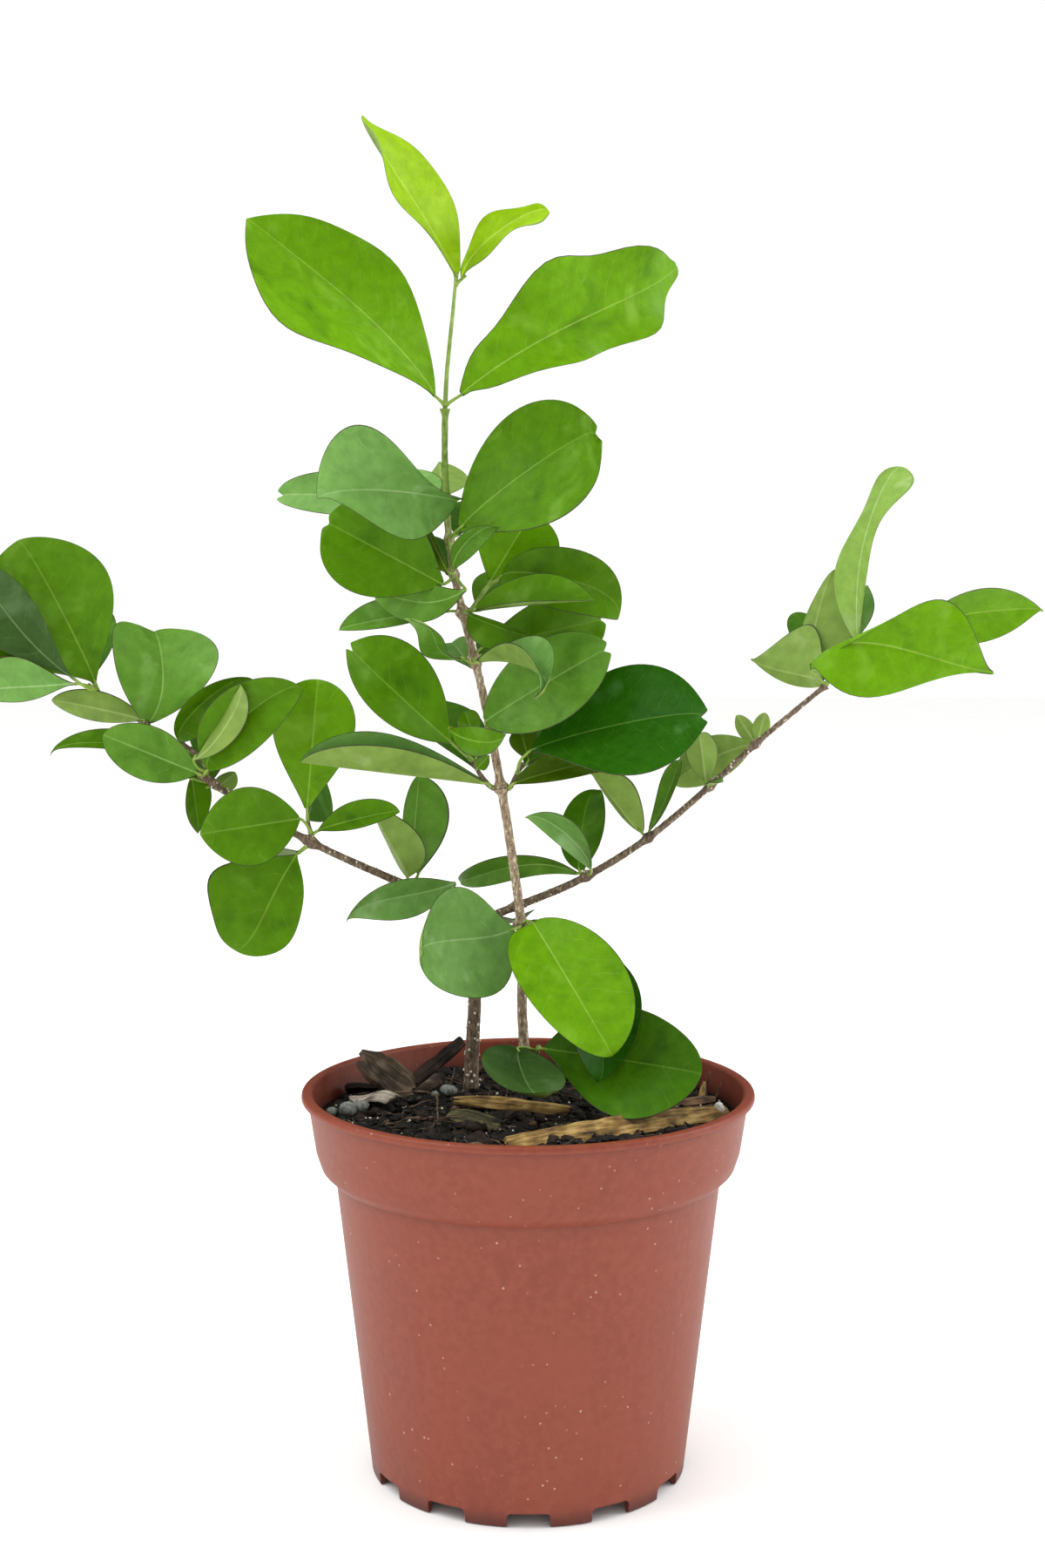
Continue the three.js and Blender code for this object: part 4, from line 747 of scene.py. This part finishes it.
def barkSkin(name, furrow, cork, ridge, split):
    # Young bark of a woody shrub: fine grey-brown cork with pale pores and splits, green towards the tip
    skin = newMaterial(name)
    place = objectPlace(skin)
    long = addNode(skin, "Mapping", {"Vector": place, "Scale": (1, 1, 0.4)}).outputs[0]
    streaks = clouds(skin, long, 0.7, 6)
    brown = ramp(skin, streaks, (0.3, furrow), (0.45, cork), (0.58, ridge), (0.68, split))
    green = ramp(skin, streaks, (0.35, "#587620"), (0.65, "#8aa548"))
    height = addNode(skin, "SeparateXYZ", {0: place}).outputs[2]
    rise = remap(skin, height, bark["greenFrom"] * mm, bark["greenTo"] * mm)
    return coat(skin, {"Base Color": blend(skin, rise, brown, green),
                       "Normal": relief(skin, streaks, 0.7, 0.4), "Roughness": 0.72})


def limbShape(one, feet):
    places, along = smoothPath(one["points"], bark["spacing"])
    radii = np.interp(along, [0, along[-1]], [one["root"], one["tip"]])
    radii += one["flare"] * np.exp(-along / bark["flareReach"])
    for foot in feet:  # a swollen joint where leaves spring
        gaps = np.linalg.norm(places - np.array(foot), axis=1)
        if gaps.min() < bark["jointReach"]:
            radii += bark["swelling"] * np.exp(-((along - along[gaps.argmin()]) / bark["swellReach"]) ** 2)
    return places, radii, along[-1]


def poreSpots(one, places, radii, length):  # where pale pores stand on a limb, below its green tip
    spots = []
    thick = one is secondStem
    for _ in range(round(length * bark["poresPerMmThick" if thick else "poresPerMm"])):
        spot = chance.randrange(4, len(places) - 2)
        way = Vector(places[spot + 1] - places[spot]).normalized()
        out = way.cross(Vector([chance.uniform(-1, 1) for _ in range(3)])).normalized()
        size = chance.uniform(0.26, 0.44) * (1 if thick else 0.7)
        if places[spot][2] < bark["greenFrom"] + 2:
            spots.append((Vector(places[spot]) + out * (radii[spot] - 0.04), (size, size, size * 1.3), 0))
    return spots


def buildLimbs():
    feet = [Vector(group["foot"]) for region in regions.values() for group in region.values()]
    paths, spots = [], []
    for one in limbs:
        places, radii, length = limbShape(one, feet)
        paths.append((places, radii))
        spots += poreSpots(one, places, radii, length)
    mesh = tubes("stems", paths, 5)
    for vert in mesh.vertices:
        place = vert.co / mm
        ridges = noise.fractal(Vector((place.x * 1.3, place.y * 1.3, place.z * 0.45)), 0.8, 2, 3)
        vert.co += vert.normal * bark["relief"] * mm * ridges
    skins = [barkSkin("brown bough bark", "#43352a", "#665343", "#7b6955", "#a8967c"),
             barkSkin("pale stem bark", "#68543f", "#937d65", "#ae987c", "#e2d6bd")]
    piece = finishPiece(mesh, "stems", skins)
    centres = np.empty(3 * len(mesh.polygons))
    mesh.polygons.foreach_get("center", centres)
    reach = np.full(len(mesh.polygons), np.inf)
    for station in paths[0][0]:  # the main stem is the paler one
        reach = np.minimum(reach, np.linalg.norm(centres.reshape(-1, 3) / mm - station, axis=1))
    mesh.polygons.foreach_set("material_index", (reach < 1.5 * mainStem["root"]).astype(int))
    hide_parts("main_stem", "second_stem", "right_bough", "left_bough")
    # Lenticels: raised dots of loose pale cork
    cork = grainySkin("pale cork", 0.7, [(0.35, "#c9bda4"), (0.65, "#eee7d6")], 0.8)
    lumps("lenticels", spots, [cork], 1)
    print("stems:", len(mesh.polygons), "faces,", len(spots), "lenticels")
    return skins[0]


# Leaves
usualBlade = {
    "widest": 0.56, "foot": 1.5, "tip": 1, "notch": 0, "fold": 12, "cup": 8, "arch": 0.05, "bend": 0,
    "sway": 0, "twist": 0, "skew": 0, "lean": 0, "lobes": 0, "wave": 0, "waves": 2,
}
leafy = {
    "rows": 30, "columns": (0, 0.13, 0.28, 0.44, 0.6, 0.75, 0.87, 0.95, 1), "midrib": 0.3, "margin": 0.2,
    "thickness": 0.42, "thinEdge": 0.2, "stalk": 0.48, "stalkTip": 0.36, "twig": 0.75, "shoot": 0.62,
    "uneven": 0.35, "springBack": 1.1, "smallLeaf": 12, "veinSpacing": 5.2, "veinSlant": 0.62,
    "veinCurve": 16,
}
tints = {  # painted shade green of the upper side, its usual green, its paler painted sheen and its veins
    "lime": ("#79a202", "#8bb304", "#a2c52e", "#b9cf58"),
    "bright": ("#507f01", "#619401", "#77a42a", "#93b54a"),
    "fresh": ("#3c6801", "#4d7b02", "#648f28", "#7ba03c"),
    "mid": ("#2b5601", "#3b6901", "#54801f", "#6b922e"),
    "deep": ("#134501", "#225801", "#457236", "#5f8a34"),
    "misty": ("#5a8838", "#6d9a4a", "#8eb272", "#a2c182"),
    "soft": ("#457018", "#578426", "#729a4c", "#8aac5c"),
    "slate": ("#2b481a", "#385723", "#506e40", "#6f8853"),
    "olive": ("#324f01", "#425f02", "#5c7a1c", "#768f38"),
    "pale": ("#729637", "#84a84a", "#a0bb7c", "#b2c888"),
}
undersides = {
    "light": ("#69853a", "#7a9644", "#90a862", "#a2b670"),
    "dull": ("#4f6a22", "#607b2c", "#758c48", "#8ea05a"),
}
lightBelow = ("lime", "bright", "pale", "misty", "soft", "fresh")
greenTwigNodes = ("foliage_top", "foliage_right_end", "foliage_ground", "foliage_upper_right")


# Where the side veins run, from 0 to 1: they leave the midrib at a slant and bend towards the tip
def sideVeins(skin, place, along, side):
    slant = calc(skin, "MULTIPLY_ADD", side, -leafy["veinSlant"], along)
    curved = calc(skin, "MULTIPLY_ADD", calc(skin, "MULTIPLY", side, side), -leafy["veinCurve"], slant)
    bent = calc(skin, "MULTIPLY_ADD", clouds(skin, place, 9), 0.007, curved)
    index = calc(skin, "MULTIPLY", bent, perSize(leafy["veinSpacing"]))
    near = calc(skin, "PINGPONG", index, 0.5)
    return remap(skin, near, 0, 0.055, 1, 0, interpolation_type="SMOOTHSTEP")


def leafSkin(name, shade, base, paintedSheen, vein, roughness, veinStrength):
    # A shrub's leathery leaf: waxy and smooth above, with patches of painted shade and paler painted sheen,
    # duller below, its veins faint
    skin = newMaterial(name)
    place = objectPlace(skin)
    flat = addNode(skin, "UVMap", uv_map="blade").outputs[0]
    split = addNode(skin, "SeparateXYZ", {0: flat})
    side = calc(skin, "ABSOLUTE", split.outputs[1])
    broken = clouds(skin, place, 5)
    veins = sideVeins(skin, place, split.outputs[0], side)
    faint = calc(skin, "MULTIPLY", veins, remap(skin, broken, 0.4, 0.62))
    cells = addNode(skin, "TexVoronoi", {"Vector": flat, "Scale": perSize(1.9)}, feature="DISTANCE_TO_EDGE")
    net = remap(skin, cells.outputs["Distance"], 0, 0.12, 1, 0)
    netted = calc(skin, "MULTIPLY", net, 0.05 * veinStrength)
    drawn = calc(skin, "MULTIPLY_ADD", faint, 0.2 * veinStrength, netted)
    midrib = remap(skin, side, 0.0001, 0.0003, 1, 0, interpolation_type="SMOOTHSTEP")
    along = addNode(skin, "Attribute", attribute_name="along").outputs["Fac"]
    paler = remap(skin, along, 0.3, 1, 0.72, 0.25)  # the midrib fades towards the tip
    ribbed = calc(skin, "MULTIPLY_ADD", midrib, paler, drawn, use_clamp=True)
    patches = clouds(skin, place, 15, 3, Distortion=0.7)
    # painted shade and painted sheen: the patches drift from the shaded green through the usual green to the
    # paler sheen
    blade = ramp(skin, patches, (0.26, shade), (0.42, base), (0.57, base), (0.73, paintedSheen))
    vigour = addNode(skin, "Attribute", attribute_name="vigour").outputs["Fac"]
    mottle = remap(skin, clouds(skin, place, 3.4, 4), 0.3, 0.7, 0.88, 1.12)
    shades = {"Color": blend(skin, ribbed, blade, vein), "Value": calc(skin, "MULTIPLY", vigour, mottle)}
    colour = addNode(skin, "HueSaturation", shades).outputs[0]
    sunken = relief(skin, calc(skin, "MULTIPLY_ADD", faint, -1, netted), 0.3, 0.2)
    return coat(skin, {"Base Color": colour, "Normal": relief(skin, broken, 0.35, 1, Normal=sunken),
                       "Roughness": roughness, "IOR": 1.42, "Specular IOR Level": 0.13})


# Stalks, green twigs and margins: the same wax over a slightly uneven green
def plainSkin(name, dark, light, roughness):
    return grainySkin(name, 3, [(0.35, dark), (0.65, light)], roughness)


# The blade as in the solids: share runs from root to tip, side from -1 to 1, height is off the middle
def bladePlaces(form, share, side, height):
    footAngle, tipAngle = 0.05 * math.pi, (0.925 if form["notch"] > 0 else 0.985) * math.pi
    power = np.log(form["widest"] + form["skew"] * side) / math.log(0.5)

    def reachAt(angle):
        return ((1 - np.cos(angle)) / 2) ** power

    angle = footAngle + (tipAngle - footAngle) * share
    edge = (reachAt(angle) - reachAt(footAngle)) / (reachAt(tipAngle) - reachAt(footAngle))
    outline = np.sin(angle) ** (form["foot"] + (form["tip"] - form["foot"]) * angle / math.pi)
    fade = np.sqrt(np.maximum(0, np.sin(math.pi * share ** 0.7)))
    swing = fade * np.sin(2 * math.pi * form["waves"] * share + np.where(side < 0, 2.1, 0))
    outline = outline * (1 + form["lean"] * side) * (1 + form["lobes"] * swing)
    halfWidth = np.maximum(form["width"] / 2 * outline, np.where(share > 0, 0.3, leafy["stalk"]))
    away = np.abs(side)
    shoulders = 0.35 * halfWidth / form["length"] * away ** 4 * (form["notch"] > 0)
    dent = form["notch"] * (1 - away) ** 1.4 + shoulders
    reach = edge - share ** 10 * dent
    lift = np.radians(form["fold"] + form["cup"] * away)
    half = halfWidth * away
    ripple = form["wave"] * form["width"] * away ** 1.5 * swing
    seed = form["seed"]
    buckle = np.sin(7 * share + seed) * np.cos(2.2 * side + 3 * share + 1.7 * seed) * away ** 0.8 * fade
    across = half * np.cos(lift) * np.sign(side)
    rise = half * np.sin(lift) + ripple + leafy["uneven"] * buckle + height
    turn = math.radians(form["twist"]) * (share - 0.5)
    bow = 4 * share * (1 - share) * form["length"]
    drift = form["bend"] * bow + form["sway"] * form["length"] * np.sin(2 * math.pi * share)
    places = np.stack([form["length"] * reach + 0 * side,
                       across * np.cos(turn) - rise * np.sin(turn) + drift,
                       across * np.sin(turn) + rise * np.cos(turn) + form["arch"] * bow], axis=-1)
    flat = np.stack([form["length"] * edge + 0 * side, half * np.sign(side)], axis=-1) * mm
    return places, flat


# One leaf as arrays: an upper and a lower skin that meet at the margin, with the midrib raised below
def leafArrays(one, root, seed, skinPlace):
    form = {**usualBlade, **one, "seed": seed % 17}
    rows, columns = leafy["rows"], np.array(leafy["columns"])
    share = np.linspace(0, 1, rows + 1)[:, None]
    flat = bladePlaces(form, share, np.array([[1.0]]), 0)[1]
    half = np.maximum(flat[:, :, 1] / mm, 0.3)
    rib = np.minimum(leafy["midrib"] * (1 - 0.7 * share) / half, 0.4)
    inner = np.maximum(1 - leafy["margin"] / half, 0.7)
    right = np.concatenate([rib + (inner - rib) * columns[None, :], np.ones((rows + 1, 1))], axis=1)
    side = np.concatenate([-right[:, ::-1], np.zeros((rows + 1, 1)), right], axis=1)
    count = side.shape[1]
    thick = np.maximum(leafy["thickness"], 0.01 * form["length"])
    body = leafy["thinEdge"] + (thick - leafy["thinEdge"]) * (1 - np.abs(side) ** 3)
    body = body * np.minimum(1, 0.45 + 1.6 * (1 - share))
    groove = np.exp(-(side * half / 0.5) ** 2) * (1 - 0.8 * share)
    upper, flat = bladePlaces(form, share, side, body / 2 - 0.12 * groove)
    lower, flat = bladePlaces(form, share, side, -body / 2 - 0.3 * groove)
    places = np.concatenate([upper.reshape(-1, 3), lower.reshape(-1, 3)])
    places = places @ np.array(turnOf(*form["turns"])).T + np.array(root)
    index = np.arange((rows + 1) * count).reshape(rows + 1, count)
    below = index + index.size
    top = np.stack([index[:-1, :-1], index[1:, :-1], index[1:, 1:], index[:-1, 1:]], axis=-1).reshape(-1, 4)
    strip = np.tile(np.arange(count - 1), rows)
    outer = (strip == 0) | (strip == count - 2)
    low = "light below" if one["tint"] in lightBelow else "dull below"
    margin = skinPlace[low if one["tint"] in ("lime", "pale") else "margin"]
    rim = np.concatenate([
        np.stack([index[:-1, -1], index[1:, -1], below[1:, -1], below[:-1, -1]], axis=-1),
        np.stack([index[1:, 0], index[:-1, 0], below[:-1, 0], below[1:, 0]], axis=-1),
        np.stack([below[-1, :-1], below[-1, 1:], index[-1, 1:], index[-1, :-1]], axis=-1),
        np.stack([index[0, :-1], index[0, 1:], below[0, 1:], below[0, :-1]], axis=-1),
    ])
    kinds = [np.where(outer, margin, skinPlace[face]) for face in (one["tint"], low)]
    return {"places": places, "faces": np.concatenate([top, top[:, ::-1] + index.size, rim]),
            "kinds": np.concatenate([*kinds, np.full(len(rim), margin)]),
            "blade": np.concatenate([flat.reshape(-1, 2), flat.reshape(-1, 2)]),
            "along": np.tile(np.repeat(share[:, 0], count), 2),
            "vigour": np.full(2 * index.size, 0.93 + 0.14 * ((seed * 0.618) % 1))}


# The nearest place on a limb, where the twig or stalk of a foliage mass springs
def springOf(foot, limbPlaces):
    return Vector(limbPlaces[np.linalg.norm(limbPlaces - np.array(foot), axis=1).argmin()])


def twigPath(node, chain):
    path, along = smoothPath(chain, 0.8)
    radii = (leafy["shoot"] if node == "foliage_top" else leafy["twig"]) * (1 - 0.3 * along / along[-1])
    return path, radii + 0.22 * np.exp(-((along[-1] - along) / 0.9) ** 2)


# A stalk runs from a station a little back along the twig into the leaf's midrib
def stalkPath(one, root, stations):
    nearest = min(range(len(stations)), key=lambda spot: (stations[spot] - root).length)
    back = min(4, round(leafy["springBack"] * (stations[nearest] - root).length))
    start = stations[max(0, nearest - back)]
    midrib = turnOf(*one["turns"]) @ Vector((1, 0, 0))
    lead = max(0, midrib.dot((root - start).normalized()))
    middle = start.lerp(root, 0.6) - midrib * 0.2 * (root - start).length * lead
    path, along = smoothPath([start, middle, root, root + midrib * 1.5], 0.5)
    radii = np.linspace(leafy["stalk"], leafy["stalkTip"], len(path)) + 0.3 * np.exp(-(along / 0.9) ** 2)
    return path, (0.7 if one["length"] < leafy["smallLeaf"] else 1) * radii


def buildFoliage(brownBark):
    limbPlaces = np.concatenate([smoothPath(one["points"], 0.5)[0] for one in limbs])
    skins = [leafSkin("waxy leaf " + name, *codes, 0.4, 1) for name, codes in tints.items()]
    skins += [leafSkin("leaf underside " + name, *codes, 0.55, 0.8) for name, codes in undersides.items()]
    skins.append(plainSkin("leaf margin", "#2b3d0e", "#43461a", 0.5))
    order = [*tints, "light below", "dull below", "margin"]
    skinPlace = {name: place for place, name in enumerate(order)}
    twigs, greenTwigs, stalks, seed = [], [], [], 0
    for region, massesThere in regions.items():
        parts = []
        for node, group in massesThere.items():
            foot = Vector(group["foot"])
            spring = springOf(foot, limbPlaces)
            stops = [foot + Vector(offset) for offset in group["twig"]]
            stations = [spring]
            if stops:
                chain = [spring, foot, *stops] if (foot - spring).length > 0.4 else [spring, *stops]
                twig = twigPath(node, chain)
                (greenTwigs if node in greenTwigNodes else twigs).append(twig)
                stations = [Vector(place) for place in twig[0]]
            for one in group["leaves"]:
                seed += 1
                root = foot + Vector(one["at"])
                parts.append(leafArrays(one, root, seed, skinPlace))
                stalks.append(stalkPath(one, root, stations))
        piece = finishPiece(joinedMesh(region + "_leaves", parts), region + "_leaves", skins)
        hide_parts(*massesThere)
        print(region, "leaves:", len(parts))
    green = plainSkin("green stalk", "#74962c", "#98b44c", 0.5)
    finishPiece(tubes("leaf_stalks", stalks, 1), "leaf_stalks", [green])
    greenTwig = plainSkin("green twig", "#74923a", "#9ab258", 0.55)
    finishPiece(tubes("green_twigs", greenTwigs, 2), "green_twigs", [greenTwig])
    finishPiece(tubes("twigs", twigs, 2), "twigs", [brownBark])
    print("stalks:", len(stalks), "twigs:", len(twigs) + len(greenTwigs))


buildFoliage(buildLimbs())


# The studio, in metres
studio = {
    "lens": 50.98, "eye": (-0.0015, -0.5781, 0.2467), "pitch": 83.81, "sky": 1.06, "dimmer": 0.96,
    "key": {"power": 10, "size": 0.9, "place": (-0.75, -0.15, 1.15)},
    "fill": {"power": 9, "size": 0.9, "place": (1.1, 0.2, 0.75)},
    "aim": (0, 0, 0.2), "floorSize": 3, "floorDrop": 0.0002,
}


def buildCamera():
    camera = addObject("camera", bpy.data.cameras.new("camera"))
    camera.data.lens, camera.data.sensor_width, camera.data.clip_start = studio["lens"], 36, 0.01
    camera.location = studio["eye"]
    camera.rotation_euler = (math.radians(studio["pitch"]), 0, 0)
    bpy.context.scene.camera = camera


def buildLight():
    for name in ("key", "fill"):
        lamp = addObject(name, bpy.data.lights.new(name, "AREA"))
        lamp.data.energy, lamp.data.size = studio[name]["power"], studio[name]["size"]
        place = lamp.location = studio[name]["place"]
        lamp.rotation_euler = (Vector(studio["aim"]) - Vector(place)).to_track_quat("-Z", "Y").to_euler()
    world = bpy.data.worlds.new("white room")
    world.use_nodes = True
    ray = addNode(world, "LightPath").outputs["Is Glossy Ray"]  # waxy leaves mirror a dimmer room
    light = calc(world, "MULTIPLY_ADD", ray, -studio["dimmer"], studio["sky"])
    feed(world, world.node_tree.nodes["Background"], {"Color": (1, 1, 1, 1), "Strength": light})
    bpy.context.scene.world = world
    bpy.context.scene.view_settings.view_transform = "Standard"


def buildFloor():
    bm = bmesh.new()
    bmesh.ops.create_grid(bm, x_segments=8, y_segments=8, size=studio["floorSize"])
    bmesh.ops.translate(bm, verts=bm.verts, vec=(0, 0, -studio["floorDrop"]))
    floor = addObject("floor", meshOf(bm, "floor"))
    # Matt paper, nearly white, with a faint drift of tone
    paper = grainySkin("matt white paper", 40, [(0.3, "#fcfcfb"), (0.7, "#fefefd")], 0.9)
    floor.data.materials.append(paper)


buildCamera()
buildLight()
buildFloor()
print("studio ready")
